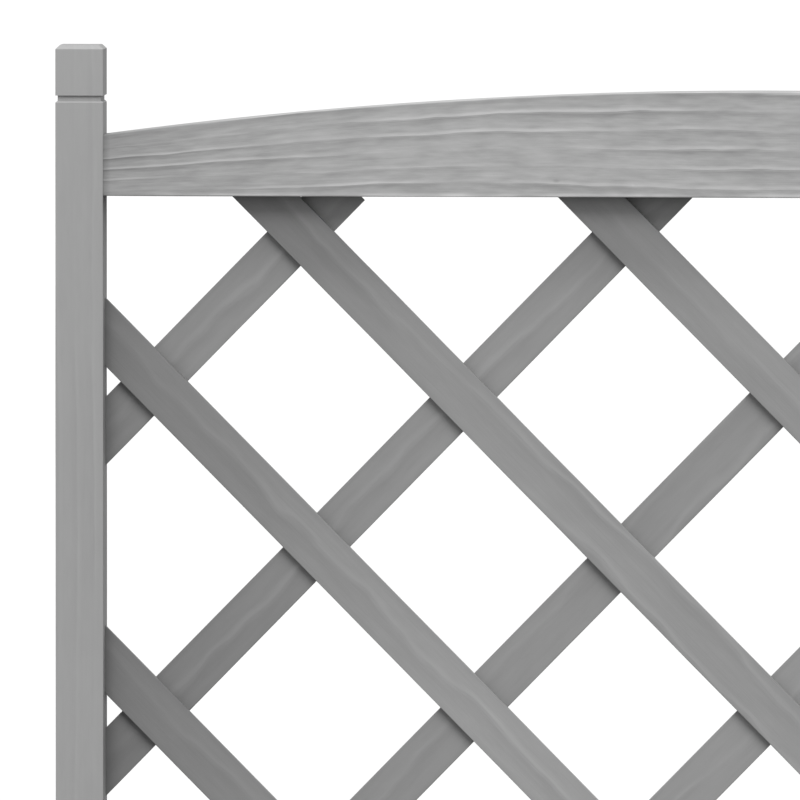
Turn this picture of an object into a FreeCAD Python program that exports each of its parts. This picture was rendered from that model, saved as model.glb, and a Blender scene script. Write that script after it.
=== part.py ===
import FreeCAD, Part
import os
import re

import Sketcher
from FreeCAD import Rotation, Vector

# A softwood planter box with an arched lattice trellis at its back. Millimetres.
# +X is right, +Y is back, +Z is up; the origin is on the ground, under the middle of the box.

SIZES = {
    # the whole planter, over its posts
    "total_width": 800,
    "total_depth": 360,
    "total_height": 1400,
    "front_post_height": 392,
    # square posts with a chamfered cap and a narrow neck cut round all four faces
    "post_width": 27,
    "post_easing": 0.8,
    "cap_chamfer": 3.1,
    "foot_chamfer": 1.5,
    "neck_drop": 28.7,
    "neck_height": 3.2,
    "neck_depth": 1.2,
    "neck_lip": 0.8,
    # trellis rails: the upper one is arched, and both are slotted for the lattice
    "rail_drop": 85.5,
    "rail_thickness": 27,
    "rail_end_height": 34,
    "rail_crown": 24.7,
    "rail_easing": 1.1,
    "lower_rail_height": 40,
    "slot_depth": 22,
    "slot_clearance": 0.3,
    # lattice slats in two layers, one leaning each way; first and last are where a layer's
    # outermost middle lines cross the rails' inner edges, measured from the nearer post
    "slat_width": 27,
    "slat_thickness": 5,
    "slat_easing": 0.7,
    "slat_tuck": 2,
    "rising_angle": 45.7,
    "rising_first": 132,
    "rising_last": 113,
    "falling_angle": 45.4,
    "falling_first": 122,
    "falling_last": 132.5,
    "lattice_setback": 11.5,
    # tongued and grooved boards between the posts
    "leg_height": 45,
    "board_cover": 75,
    "board_thickness": 10,
    "board_inset": 4,
    "board_bevel": 1.8,
    "tongue_thickness": 3.4,
    "tongue_height": 4.5,
    "tongue_clearance": 0.3,
    # upright battens that fasten the boards to the posts
    "batten_width": 22,
    "batten_top_gap": 6,
    "batten_easing": 0.8,
    # floor slats on two bearers
    "bearer_height": 20,
    "bearer_thickness": 18,
    "bearer_lift": 8,
    "floor_thickness": 12,
    "floor_gap": 6,
    "floor_clearance": 1,
    # countersunk wood screws
    "rail_screw_length": 60,
    "rail_screw_shank": 4.5,
    "rail_screw_head": 8.6,
    "batten_screw_length": 38,
    "batten_screw_shank": 4,
    "batten_screw_head": 7.6,
    "batten_screw_margin": 40,
    "batten_screw_stagger": 15,
    "bearer_screw_length": 26,
    "bearer_screw_shank": 3.5,
    "bearer_screw_head": 6.8,
    "bearer_screw_margin": 60,
    "screw_clearance": 0.1,
}
BOARDS_PER_WALL = 4
FLOOR_SLATS = 7
LATTICE_SLATS = 9  # in each layer
SCREW_SIDES = 16  # the many small screws and their holes are drawn with this many flats
SCREW_POINT = 1.6  # its length over the shank's radius
RECESS_REACH, RECESS_WIDTH, RECESS_DEPTH = 0.6, 0.14, 0.25  # over the head's width

# How far these slats were laid from their even spacing, measured along the upper rail.
RISING_SHIFTS = {1: -2.4, 2: 3.7, 3: 4.2, 4: -4.1}
FALLING_SHIFTS = {3: -1.2, 4: 5.7, 5: -4.5, 6: 1.5}
SHORT_SLAT = 1  # this rising slat was cut short: its square end shows under the upper rail
SHORT_SLAT_DROP = 4.7

# Sizes that follow from the driving ones.
WALL_TOP = f"(leg_height + {BOARDS_PER_WALL} * board_cover)"
TRELLIS_FRONT = "(total_depth / 2 - post_width)"
RAIL_SPAN = "(total_width - 2 * post_width)"
UPPER_RAIL_Z = "(total_height - rail_drop)"
LATTICE_BOTTOM = f"({WALL_TOP} + lower_rail_height)"
SIDE_SPAN = "(total_depth - 2 * post_width)"
BATTEN_THICKNESS = "(post_width - board_inset - board_thickness)"
FLOOR_BOTTOM = "(leg_height + bearer_lift + bearer_height)"
FLOOR_TOP = f"({FLOOR_BOTTOM} + floor_thickness)"
INNER_WIDTH = "(total_width - 2 * board_inset - 2 * board_thickness)"
INNER_DEPTH = "(total_depth - 2 * board_inset - 2 * board_thickness)"
FLOOR_SPAN = f"({INNER_WIDTH} - 2 * floor_clearance)"
FLOOR_SLAT_WIDTH = f"(({FLOOR_SPAN} - {FLOOR_SLATS - 1} * floor_gap) / {FLOOR_SLATS})"
FLOOR_PITCH = f"({FLOOR_SLAT_WIDTH} + floor_gap)"

doc = FreeCAD.newDocument("trellis_planter")
sheet = doc.addObject("Spreadsheet::Sheet", "dims")


def fill_sheet():
    cells = dict(SIZES)
    cells.update({f"rising_shift_{n}": shift for n, shift in RISING_SHIFTS.items()})
    cells.update({f"falling_shift_{n}": shift for n, shift in FALLING_SHIFTS.items()})
    cells["short_slat_drop"] = SHORT_SLAT_DROP
    for row, (name, value) in enumerate(cells.items(), start=1):
        sheet.set(f"A{row}", name)
        sheet.set(f"B{row}", str(value))
        sheet.setAlias(f"B{row}", name)
    doc.recompute()
    return cells


CELLS = fill_sheet()


def formula(text):
    """The text with every size's name pointing at its cell."""
    return re.sub(r"[a-z]+(?:_[a-z0-9]+)+", lambda word: f"dims.{word[0]}", str(text))


def number(text):
    """What a formula comes to, in millimetres or degrees."""
    return float(sheet.evalExpression(formula(text)))


def bind(item, **formulas):
    for path, text in formulas.items():
        item.setExpression(path, formula(text))


def place(item, x, y, z, angle=None, axis=Vector(0, 0, 1)):
    if angle is not None:
        item.Placement.Rotation = Rotation(axis, 1)
        item.setExpression("Placement.Rotation.Angle", formula(angle))
    for letter, text in zip("xyz", (x, y, z)):
        item.setExpression(f"Placement.Base.{letter}", formula(text))


# ---- sketches and features -------------------------------------------------------------


def new_body(label):
    body = doc.addObject("PartDesign::Body", label)
    body.Label = label
    return body


def new_sketch(body, plane, offset=(0, 0, 0)):
    sketch = body.newObject("Sketcher::SketchObject", f"{body.Name}_sketch")
    origin_plane = next(item for item in body.Origin.OriginFeatures if item.Role == plane)
    sketch.AttachmentSupport = [(origin_plane, "")]
    sketch.MapMode = "FlatFace"
    for letter, text in zip("xyz", offset):
        sketch.setExpression(f"AttachmentOffset.Base.{letter}", formula(text))
    return sketch


def draw_rectangle(sketch, width, height, inset="0"):
    """A rectangle whose lower left corner is inset from the sketch's origin, both ways."""
    first = sketch.GeometryCount
    corners = [Vector(1, 1), Vector(11, 1), Vector(11, 11), Vector(1, 11)]
    for n in range(4):
        sketch.addGeometry(Part.LineSegment(corners[n], corners[(n + 1) % 4]))
    for n in range(4):
        sketch.addConstraint(Sketcher.Constraint("Coincident", first + n, 2, first + (n + 1) % 4, 1))
    for n, kind in enumerate(("Horizontal", "Vertical", "Horizontal", "Vertical")):
        sketch.addConstraint(Sketcher.Constraint(kind, first + n))
    if inset == "0":
        sketch.addConstraint(Sketcher.Constraint("Coincident", first, 1, -1, 1))
    else:
        for kind in ("DistanceX", "DistanceY"):
            datum = sketch.addConstraint(Sketcher.Constraint(kind, -1, 1, first, 1, 1.0))
            sketch.setExpression(f"Constraints[{datum}]", formula(inset))
    for kind, line, text in (("DistanceX", first, width), ("DistanceY", first + 1, height)):
        datum = sketch.addConstraint(Sketcher.Constraint(kind, line, 1, line, 2, 10.0))
        sketch.setExpression(f"Constraints[{datum}]", formula(text))


def pad(body, sketch, length, backwards=False):
    feature = body.newObject("PartDesign::Pad", f"{body.Name}_pad")
    feature.Profile = sketch
    feature.Reversed = backwards
    bind(feature, Length=length)
    doc.recompute()
    return feature


def pocket(body, sketch, length, forwards=False):
    before = body.Shape.Volume
    feature = body.newObject("PartDesign::Pocket", f"{body.Name}_pocket")
    feature.Profile = sketch
    feature.Reversed = forwards
    bind(feature, Length=length)
    doc.recompute()
    if not body.Shape.Volume < before:
        raise RuntimeError(f"{body.Label}: the pocket cuts nothing")
    return feature


def edges_where(shape, test):
    """Names of the edges whose points all pass the test."""
    names = []
    for n, edge in enumerate(shape.Edges, start=1):
        middle = edge.valueAt((edge.FirstParameter + edge.LastParameter) / 2)
        points = [vertex.Point for vertex in edge.Vertexes] + [middle]
        if all(test(point) for point in points):
            names.append(f"Edge{n}")
    return names


def long_edges(shape, along, test=lambda point: True):
    """Names of the straight edges that run along one axis, where the test holds."""
    names = []
    for n, edge in enumerate(shape.Edges, start=1):
        run = edge.Vertexes[-1].Point - edge.Vertexes[0].Point
        if run.Length > 0 and abs(getattr(run, along)) > 0.999 * run.Length:
            if test(edge.Vertexes[0].Point):
                names.append(f"Edge{n}")
    return names


def close(one, other):
    return abs(one - other) < 0.01


def soften(body, size_name, edges):
    """A narrow chamfer of one named size along the given edges."""
    if not edges:
        raise RuntimeError(f"{body.Label}: no edges to soften")
    before = body.Shape.Volume
    base = body.Tip
    feature = body.newObject("PartDesign::Chamfer", f"{body.Name}_chamfer")
    feature.Base = (base, edges)
    bind(feature, Size=size_name)
    doc.recompute()
    if not 0.9 * before < body.Shape.Volume < before:
        raise RuntimeError(f"{body.Label}: the chamfer failed")
    return feature


# ---- wooden pieces ---------------------------------------------------------------------


def make_plank(label, length, thickness, width, easing):
    """A sawn plank from its own origin: length along X, thickness along Y, width along Z."""
    body = new_body(label)
    profile = new_sketch(body, "YZ_Plane")
    draw_rectangle(profile, thickness, width)
    pad(body, profile, length)
    if easing:
        soften(body, easing, long_edges(body.Shape, "x"))
    return body


def make_post(label, height, x, y):
    body = new_body(label)
    outline = new_sketch(body, "XY_Plane")
    draw_rectangle(outline, "post_width", "post_width")
    pad(body, outline, height)
    tall = number(height)
    soften(body, "cap_chamfer", edges_where(body.Shape, lambda p: close(p.z, tall)))
    soften(body, "foot_chamfer", edges_where(body.Shape, lambda p: close(p.z, 0)))

    neck = new_sketch(body, "XY_Plane", (0, 0, f"{height} - neck_drop"))
    draw_rectangle(neck, "post_width", "post_width")
    draw_rectangle(neck, "post_width - 2 * neck_depth", "post_width - 2 * neck_depth", "neck_depth")
    pocket(body, neck, "neck_height")

    lip = tall - number("neck_drop + neck_height")
    middle = number("post_width / 2")
    rim = number("post_width / 2 - neck_depth / 2")
    outside = edges_where(
        body.Shape,
        lambda p: close(p.z, lip) and max(abs(p.x - middle), abs(p.y - middle)) > rim,
    )
    soften(body, "neck_lip", outside)
    soften(body, "post_easing", long_edges(body.Shape, "z"))
    place(body, x, y, 0)
    return body


def slot_rail(body, z, forwards):
    """The slot that holds the slat ends, two slats thick, along the whole rail."""
    slot = new_sketch(body, "XY_Plane", (0, "lattice_setback - slot_clearance", z))
    draw_rectangle(slot, RAIL_SPAN, "2 * slat_thickness + 2 * slot_clearance")
    pocket(body, slot, "slot_depth", forwards)


def make_upper_rail():
    """Flat below, one shallow arc above, eased along the outlines of both faces."""
    body = new_body("upper_rail_blank")
    outline = new_sketch(body, "XZ_Plane")
    span, end, crown = (number(t) for t in (RAIL_SPAN, "rail_end_height", "rail_crown"))
    corners = [Vector(0, end), Vector(0, 0), Vector(span, 0), Vector(span, end)]
    for n in range(3):
        outline.addGeometry(Part.LineSegment(corners[n], corners[n + 1]))
    outline.addGeometry(Part.Arc(corners[3], Vector(span / 2, end + crown), corners[0]))
    left, bottom, right, arch = range(4)
    outline.addConstraint([
        Sketcher.Constraint("Coincident", left, 2, bottom, 1),
        Sketcher.Constraint("Coincident", bottom, 2, right, 1),
        Sketcher.Constraint("Coincident", right, 2, arch, 1),
        Sketcher.Constraint("Coincident", arch, 2, left, 1),
        Sketcher.Constraint("Coincident", bottom, 1, -1, 1),
        Sketcher.Constraint("Vertical", left),
        Sketcher.Constraint("Horizontal", bottom),
        Sketcher.Constraint("Vertical", right),
        Sketcher.Constraint("Equal", left, right),
    ])
    radius = f"(({RAIL_SPAN} / 2) ^ 2 + rail_crown ^ 2) / (2 * rail_crown)"
    for constraint, text in (
        (Sketcher.Constraint("DistanceX", bottom, 1, bottom, 2, span), RAIL_SPAN),
        (Sketcher.Constraint("DistanceY", left, 2, left, 1, end), "rail_end_height"),
        (Sketcher.Constraint("Radius", arch, number(radius)), radius),
    ):
        datum = outline.addConstraint(constraint)
        outline.setExpression(f"Constraints[{datum}]", formula(text))
    pad(body, outline, "rail_thickness", backwards=True)
    back = number("rail_thickness")
    outlines = edges_where(body.Shape, lambda p: close(p.y, 0))
    outlines += edges_where(body.Shape, lambda p: close(p.y, back))
    soften(body, "rail_easing", outlines)
    slot_rail(body, 0, forwards=True)
    place(body, f"-{RAIL_SPAN} / 2", TRELLIS_FRONT, UPPER_RAIL_Z)
    return body


def make_lower_rail():
    body = make_plank("lower_rail_blank", RAIL_SPAN, "rail_thickness", "lower_rail_height", "rail_easing")
    slot_rail(body, "lower_rail_height", forwards=False)
    place(body, f"-{RAIL_SPAN} / 2", TRELLIS_FRONT, WALL_TOP)
    return body


def make_slat(label, angle, centre, setback, side, drop):
    """A square-ended slat that leans up to the right (side 1) or left (side -1), trimmed
    where it meets a post. centre is its middle line's distance from the planter's middle,
    where it passes under the upper rail, and drop is how far short of the slot it ends."""
    half = f"(slat_width / 2 * cos({angle}))"
    foot_z = f"({LATTICE_BOTTOM} - slat_tuck - {half})"
    head_z = f"({UPPER_RAIL_Z} + slat_tuck - {drop} + {half})"
    foot_x = f"({side} * ({centre} - ({UPPER_RAIL_Z} - {foot_z}) / tan({angle})))"
    length = f"({head_z} - {foot_z}) / sin({angle})"
    blank = make_plank(f"{label}_blank", length, "slat_thickness", "slat_width", "slat_easing")
    turn = angle if side == 1 else f"180 - {angle}"
    # the blank turns about its lower corner, half a slat's width from its middle line
    x = f"{foot_x} + slat_width / 2 * sin({angle})"
    z = f"{foot_z} - {side} * {half}"
    place(blank, x, f"{TRELLIS_FRONT} + {setback}", z, turn, Vector(0, -1, 0))
    slat = doc.addObject("Part::Common", label)
    slat.Label = label
    slat.Base = blank
    slat.Tool = trellis_field
    return slat


def make_board(label, top_board, bottom_board, length):
    """A board with its outer face at Y 0: tongue above, groove below, bevelled outside."""
    body = make_plank(label, length, "board_thickness", "board_cover", None)
    tongue_y = "(board_thickness - tongue_thickness) / 2"
    if not top_board:
        tongue = new_sketch(body, "YZ_Plane", (tongue_y, "board_cover", 0))
        draw_rectangle(tongue, "tongue_thickness", "tongue_height")
        pad(body, tongue, length)
    if not bottom_board:
        groove = new_sketch(body, "YZ_Plane", (f"{tongue_y} - tongue_clearance", 0, 0))
        draw_rectangle(
            groove, "tongue_thickness + 2 * tongue_clearance", "tongue_height + tongue_clearance"
        )
        pocket(body, groove, length, forwards=True)
    corners = (0, number("board_cover"))
    outer = long_edges(
        body.Shape, "x", lambda p: close(p.y, 0) and any(close(p.z, z) for z in corners)
    )
    soften(body, "board_bevel", outer)
    return body


def cut(label, base, *tools):
    """The base less the tools' holes, as the finished piece of that name."""
    for n, tool in enumerate(tools, start=1):
        piece = doc.addObject("Part::Cut", label if n == len(tools) else f"{label}_cut_{n}")
        piece.Base = base
        piece.Tool = tool
        base = piece
    base.Label = label
    return base


# ---- screws ----------------------------------------------------------------------------


def flat_face(points):
    return Part.Face(Part.makePolygon([*points, points[0]]))


def screw_blank(kind, clearance=0.0):
    """A countersunk screw that points down from the origin, or the hole it needs: rings of
    corners under the head's rim, below the head and at the shank's end, then the point."""
    shank = number(f"{kind}_shank / 2") + clearance
    head = number(f"{kind}_head / 2") + clearance
    length = number(f"{kind}_length") + clearance
    point = SCREW_POINT * shank
    turns = [Rotation(Vector(0, 0, 1), 360 * n / SCREW_SIDES) for n in range(SCREW_SIDES)]
    rings = [
        [turn.multVec(Vector(radius, 0, z)) for turn in turns]
        for radius, z in ((head, 0), (shank, shank - head), (shank, point - length))
    ]
    tip = Vector(0, 0, -length)
    faces = [flat_face(rings[0])]
    for n in range(SCREW_SIDES):
        after = (n + 1) % SCREW_SIDES
        for upper, lower in zip(rings, rings[1:]):
            faces.append(flat_face([upper[n], upper[after], lower[after], lower[n]]))
        faces.append(flat_face([rings[-1][n], rings[-1][after], tip]))
    return Part.Solid(Part.Shell(faces))


def cross_recess(kind):
    """The cross that the driver turns, sunk into the head."""
    head = number(f"{kind}_head")
    reach, wide, depth = (share * head for share in (RECESS_REACH, RECESS_WIDTH, RECESS_DEPTH))
    arms = [
        Part.makeBox(x, y, 2 * depth, Vector(-x / 2, -y / 2, -depth))
        for x, y in ((reach, wide), (wide, reach))
    ]
    return arms[0].fuse(arms[1])


def screw_group(label, kind, seats):
    """The screws at their seats as one piece, and the holes that they sit in."""
    made = []
    clearance = number("screw_clearance")
    for name, blank in (
        (label, screw_blank(kind).cut(cross_recess(kind))),
        (f"{label}_holes", screw_blank(kind, clearance)),
    ):
        copies = []
        for where, into in seats:
            copy = blank.copy()
            copy.Placement = FreeCAD.Placement(where, Rotation(Vector(0, 0, -1), into))
            copies.append(copy)
        group = doc.addObject("Part::Feature", name)
        group.Label = name
        group.Shape = Part.makeCompound(copies)
        made.append(group)
    return made


# Each wall's turn about Z, its span, and the place of its outer left lower corner.
WALL_OUT = "(total_depth / 2 - board_inset)"
SIDE_OUT = "(total_width / 2 - board_inset)"
WALLS = {
    "front": (0, RAIL_SPAN, (f"-{RAIL_SPAN} / 2", f"-{WALL_OUT}")),
    "right": (90, SIDE_SPAN, (SIDE_OUT, f"-{SIDE_SPAN} / 2")),
    "back": (180, RAIL_SPAN, (f"{RAIL_SPAN} / 2", WALL_OUT)),
    "left": (270, SIDE_SPAN, (f"-{SIDE_OUT}", f"{SIDE_SPAN} / 2")),
}


def wall_point(wall, x, y, z):
    """A point of a wall's own frame in the planter's frame."""
    turn, _, (corner_x, corner_y) = WALLS[wall]
    local = Rotation(Vector(0, 0, 1), turn).multVec(Vector(x, y, z))
    return local + Vector(number(corner_x), number(corner_y), 0)


def wall_direction(wall, x, y):
    return Rotation(Vector(0, 0, 1), WALLS[wall][0]).multVec(Vector(x, y, 0))


def rail_screw_seats():
    """One screw through each tall post into each rail end, clear of the slot."""
    y = number(f"{TRELLIS_FRONT} + rail_thickness / 2")
    face = number("total_width / 2")
    heights = (
        number(f"{UPPER_RAIL_Z} + (slot_depth + rail_end_height) / 2"),
        number(f"{WALL_TOP} + (lower_rail_height - slot_depth) / 2"),
    )
    return [
        (Vector(side * face, y, z), Vector(-side, 0, 0)) for z in heights for side in (-1, 1)
    ]


def batten_screw_seats():
    """Two screws through each batten's edge into its post, staggered round the corner."""
    seats = []
    edge = number("batten_width")
    y = number(f"board_thickness + {BATTEN_THICKNESS} / 2")
    margin, stagger = number("batten_screw_margin"), number("batten_screw_stagger")
    for wall, (turn, span, _) in WALLS.items():
        lift = stagger if turn % 180 else 0
        heights = (number(FLOOR_TOP) + margin - lift, number(WALL_TOP) - margin - lift)
        for z in heights:
            seats.append((wall_point(wall, edge, y, z), wall_direction(wall, -1, 0)))
            far = number(span) - edge
            seats.append((wall_point(wall, far, y, z), wall_direction(wall, 1, 0)))
    return seats


def bearer_screw_seats():
    """Three screws through each floor bearer into the lowest board behind it."""
    inner = number(f"{INNER_DEPTH} / 2 - bearer_thickness")
    z = number("leg_height + bearer_lift + bearer_height / 2")
    reach = number(f"{RAIL_SPAN} / 2 - bearer_screw_margin")
    return [
        (Vector(x, side * inner, z), Vector(0, side, 0))
        for side in (-1, 1)
        for x in (-reach, 0, reach)
    ]


rail_screws, rail_holes = screw_group("rail_screws", "rail_screw", rail_screw_seats())
batten_screws, batten_holes = screw_group("batten_screws", "batten_screw", batten_screw_seats())
bearer_screws, bearer_holes = screw_group("bearer_screws", "bearer_screw", bearer_screw_seats())
parts = [rail_screws, batten_screws, bearer_screws]


# ---- posts -----------------------------------------------------------------------------

for side, x in (("left", "-total_width / 2"), ("right", "total_width / 2 - post_width")):
    post = make_post(f"front_{side}_blank", "front_post_height", x, "-total_depth / 2")
    parts.append(cut(f"front_{side}_post", post, batten_holes))
    post = make_post(f"rear_{side}_blank", "total_height", x, TRELLIS_FRONT)
    parts.append(cut(f"rear_{side}_post", post, batten_holes, rail_holes))

# ---- trellis ---------------------------------------------------------------------------

parts.append(cut("upper_rail", make_upper_rail(), rail_holes))
parts.append(cut("lower_rail", make_lower_rail(), rail_holes))

# The slats may reach sideways as far as the posts' inner faces.
trellis_field = doc.addObject("Part::Box", "trellis_field")
bind(trellis_field, Length=RAIL_SPAN, Width="rail_thickness", Height="total_height")
place(trellis_field, f"-{RAIL_SPAN} / 2", TRELLIS_FRONT, 0)


for name, side, setback in (
    ("rising", 1, "lattice_setback + slat_thickness"),
    ("falling", -1, "lattice_setback"),
):
    angle = f"{name}_angle"
    lean = f"({UPPER_RAIL_Z} - {LATTICE_BOTTOM}) / tan({angle})"
    pitch = f"(({RAIL_SPAN} + {lean} - {name}_first - {name}_last) / {LATTICE_SLATS - 1})"
    for n in range(LATTICE_SLATS):
        count = n + 1
        shift = f"{name}_shift_{count}" if f"{name}_shift_{count}" in CELLS else "0"
        centre = f"({name}_first - {RAIL_SPAN} / 2 + {n} * {pitch} + {shift})"
        drop = "short_slat_drop" if (name, count) == ("rising", SHORT_SLAT) else "0"
        parts.append(make_slat(f"{name}_slat_{count}", angle, centre, setback, side, drop))

# ---- box walls -------------------------------------------------------------------------

for wall, (turn, span, (corner_x, corner_y)) in WALLS.items():
    for n in range(BOARDS_PER_WALL):
        label = f"{wall}_board_{n + 1}"
        holed = n == 0 and turn % 180 == 0
        board = make_board(
            f"{label}_blank" if holed else label, n == BOARDS_PER_WALL - 1, n == 0, span
        )
        place(board, corner_x, corner_y, f"leg_height + {n} * board_cover", turn)
        parts.append(cut(label, board, bearer_holes) if holed else board)

    for end, along in (("a", "0"), ("b", f"{span} - batten_width")):
        label = f"{wall}_batten_{end}"
        batten = make_plank(
            f"{label}_blank",
            f"{WALL_TOP} - batten_top_gap - {FLOOR_TOP}",
            BATTEN_THICKNESS,
            "batten_width",
            "batten_easing",
        )
        # the batten is sawn along X and stands up on the floor, inside the boards
        place(batten, f"{along} + batten_width", "board_thickness", FLOOR_TOP, -90, Vector(0, 1, 0))
        stand = doc.addObject("Part::Compound", f"{label}_stand")
        stand.Links = [batten]
        place(stand, corner_x, corner_y, 0, turn)
        parts.append(cut(label, stand, batten_holes))

# ---- floor -----------------------------------------------------------------------------

for name, y in (
    ("front_bearer", f"-{INNER_DEPTH} / 2"),
    ("rear_bearer", f"{INNER_DEPTH} / 2 - bearer_thickness"),
):
    bearer = make_plank(f"{name}_blank", RAIL_SPAN, "bearer_thickness", "bearer_height", "batten_easing")
    place(bearer, f"-{RAIL_SPAN} / 2", y, "leg_height + bearer_lift")
    parts.append(cut(name, bearer, bearer_holes))

for n in range(FLOOR_SLATS):
    body = new_body(f"floor_slat_{n + 1}")
    outline = new_sketch(body, "XY_Plane")
    slat_length = f"({INNER_DEPTH} - 2 * floor_clearance)"
    draw_rectangle(outline, FLOOR_SLAT_WIDTH, slat_length)
    pad(body, outline, "floor_thickness")
    if n in (0, FLOOR_SLATS - 1):
        # the end slats reach the side walls, so their outer corners are notched for the posts
        notch_x = "0" if n == 0 else f"{FLOOR_SLAT_WIDTH} - {BATTEN_THICKNESS}"
        for notch_y in ("0", f"{slat_length} - {BATTEN_THICKNESS}"):
            notch = new_sketch(body, "XY_Plane", (notch_x, notch_y, 0))
            draw_rectangle(notch, BATTEN_THICKNESS, BATTEN_THICKNESS)
            pocket(body, notch, "floor_thickness", forwards=True)
    top = number("floor_thickness")
    soften(body, "batten_easing", long_edges(body.Shape, "y", lambda p: close(p.z, top)))
    place(body, f"-{FLOOR_SPAN} / 2 + {n} * {FLOOR_PITCH}", f"-{slat_length} / 2", FLOOR_BOTTOM)
    parts.append(body)

# ---- checks and files ------------------------------------------------------------------

doc.recompute()
for item in doc.Objects:
    if {"Invalid", "Error"} & set(item.State):
        raise RuntimeError(f"{item.Label} failed: {item.State}")

os.makedirs("parts", exist_ok=True)
for piece in parts:
    shape = piece.Shape
    if shape.isNull() or not shape.isValid() or not shape.Solids:
        raise RuntimeError(f"{piece.Label} has no valid shape")
    shape.exportStep(os.path.join("parts", f"{piece.Label}.step"))
print(f"{len(parts)} pieces, {sum(len(piece.Shape.Solids) for piece in parts)} solids")
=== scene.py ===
# %% [markdown]
# # A planter box with an arched lattice trellis
# The real object is a flat-pack garden planter of grey stained softwood: four square posts, four
# walls of tongued and grooved boards, a slatted floor, and a lattice held between two slotted
# rails. The construction comes ready as a fixed frame of sharp-edged solids. This lesson gives
# every stick of it a fine wooden skin, with eased edges, plane marks and its own grain, adds the
# small fasteners, and lights it softly on a pale floor.

# %% Load the frame and note its box
import math

import bmesh
import bpy
import numpy as np
from mathutils import Matrix, Vector


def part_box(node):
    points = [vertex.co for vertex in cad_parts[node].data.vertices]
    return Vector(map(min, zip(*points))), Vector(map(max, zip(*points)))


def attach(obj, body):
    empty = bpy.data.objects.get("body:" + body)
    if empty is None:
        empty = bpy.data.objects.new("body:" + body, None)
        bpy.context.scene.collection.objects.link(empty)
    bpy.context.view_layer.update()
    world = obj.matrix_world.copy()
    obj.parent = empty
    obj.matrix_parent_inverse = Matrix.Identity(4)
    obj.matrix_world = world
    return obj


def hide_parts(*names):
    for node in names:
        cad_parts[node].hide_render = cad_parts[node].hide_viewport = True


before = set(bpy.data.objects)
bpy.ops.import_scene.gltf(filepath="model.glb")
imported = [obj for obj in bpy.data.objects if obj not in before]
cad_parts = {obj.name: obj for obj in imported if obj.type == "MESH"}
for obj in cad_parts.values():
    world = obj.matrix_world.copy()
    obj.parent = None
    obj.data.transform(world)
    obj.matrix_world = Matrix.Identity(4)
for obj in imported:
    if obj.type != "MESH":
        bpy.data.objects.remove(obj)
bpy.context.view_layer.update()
MM = 0.001


def node_box(name):
    """A node's lowest and highest corners as arrays."""
    low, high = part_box(name)
    return np.array(low), np.array(high)


# %% [markdown]
# ## Outlines
# A sawn stick is one outline carried along its length. A planed edge is never quite sharp, so
# every outline is drawn as a few corners and then eased: each corner becomes a short curve. The
# flats between are divided too, so that they can carry plane marks, with one extra point close to
# each curve. That point keeps the smooth shading of the curve from bleeding over the flat.

# %% Ease the corners of an outline
GUARD = 0.4 * MM  # the flat's first point beside an eased corner
CURVE_STEPS = 3


def divided(start, end, step):
    """Points from start to just before end: a guard near each end, and even parts between."""
    length = np.linalg.norm(end - start)
    if length < 4 * GUARD:
        return start[None]
    parts = max(1, round((length - 2 * GUARD) / step))
    at = np.concatenate([[0], np.linspace(GUARD, length - GUARD, parts + 1)]) / length
    return start + (end - start) * at[:, None]


def eased(corners, radii, steps):
    """A closed outline: each corner is a quadratic curve between the two points one radius away
    from it, P = (1-t)^2 A + 2t(1-t) C + t^2 B, and each flat is divided at about its step."""
    corners = np.array(corners, float)
    radii = np.broadcast_to(np.array(radii, float), len(corners))
    steps = np.broadcast_to(np.array(steps, float), len(corners))

    def toward(other):
        run = other - corners
        return corners + run / np.linalg.norm(run, axis=1)[:, None] * radii[:, None]

    into, out = toward(np.roll(corners, 1, 0)), toward(np.roll(corners, -1, 0))
    t = np.linspace(0, 1, CURVE_STEPS + 1)[:-1, None]
    pieces = []
    for n, corner in enumerate(corners):
        if radii[n] > 0:
            pieces.append((1 - t) ** 2 * into[n] + 2 * t * (1 - t) * corner + t**2 * out[n])
        pieces.append(divided(out[n], into[(n + 1) % len(corners)], steps[n]))
    return np.concatenate(pieces)


def outward(outline):
    """The outline's unit normals: each point's neighbours give its run, turned a quarter."""
    run = np.roll(outline, -1, 0) - np.roll(outline, 1, 0)
    normal = np.stack([run[:, 1], -run[:, 0]], 1)
    return normal / np.linalg.norm(normal, axis=1)[:, None]


def rectangle(width, thick):
    return np.array([(-1, -1), (1, -1), (1, 1), (-1, 1)]) * (width / 2, thick / 2)


# %% [markdown]
# ## Plane marks
# A planed face is not quite flat: the cutter leaves it rising and falling by about a tenth of a
# millimetre, which is what makes light drift along a real plank. A sum of a few long waves
# gives that, and the stick's own random numbers give it its own waves. Each stick also starts at
# its own place in the imagined tree, so that no two show the same grain.

# %% Unevenness along a plank
WAVES = 6
PLANED, SAWN = 0.08 * MM, 0.12 * MM  # the height of the waves on planed and on sawn wood
SAWN_EASING = 0.8 * MM
dice = np.random.default_rng  # each piece has its own seed, so that every run is the same


def unevenness(along, around, rng, height):
    """A sum of sin(along) x sin(around) waves, 60 to 400 mm long and 15 to 60 mm wide, that
    together reach about one height up and down, less one height: a plane only takes away."""
    total = np.zeros(np.broadcast(along, around).shape)
    for _ in range(WAVES):
        long_wave, wide_wave = rng.uniform(0.06, 0.4), rng.uniform(0.015, 0.06)
        phase = rng.uniform(0, 2 * np.pi, 2)
        total += np.sin(2 * np.pi * along / long_wave + phase[0]) * np.sin(
            2 * np.pi * around / wide_wave + phase[1]
        )
    return np.minimum(total / (WAVES / 2) - 1, 0) * height


def in_the_tree(rng, ring=None):
    """Where a stick lay in its tree: metres along, and less across and through. With a ring, a
    growth line lies near the stick's middle."""
    place = rng.uniform(0, 9, 3) * (1, 0.1, 0.1)
    if ring:
        place[1:] = np.round(place[1] / ring) * ring + rng.uniform(-0.2, 0.2) * ring, 0
    return place


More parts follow.
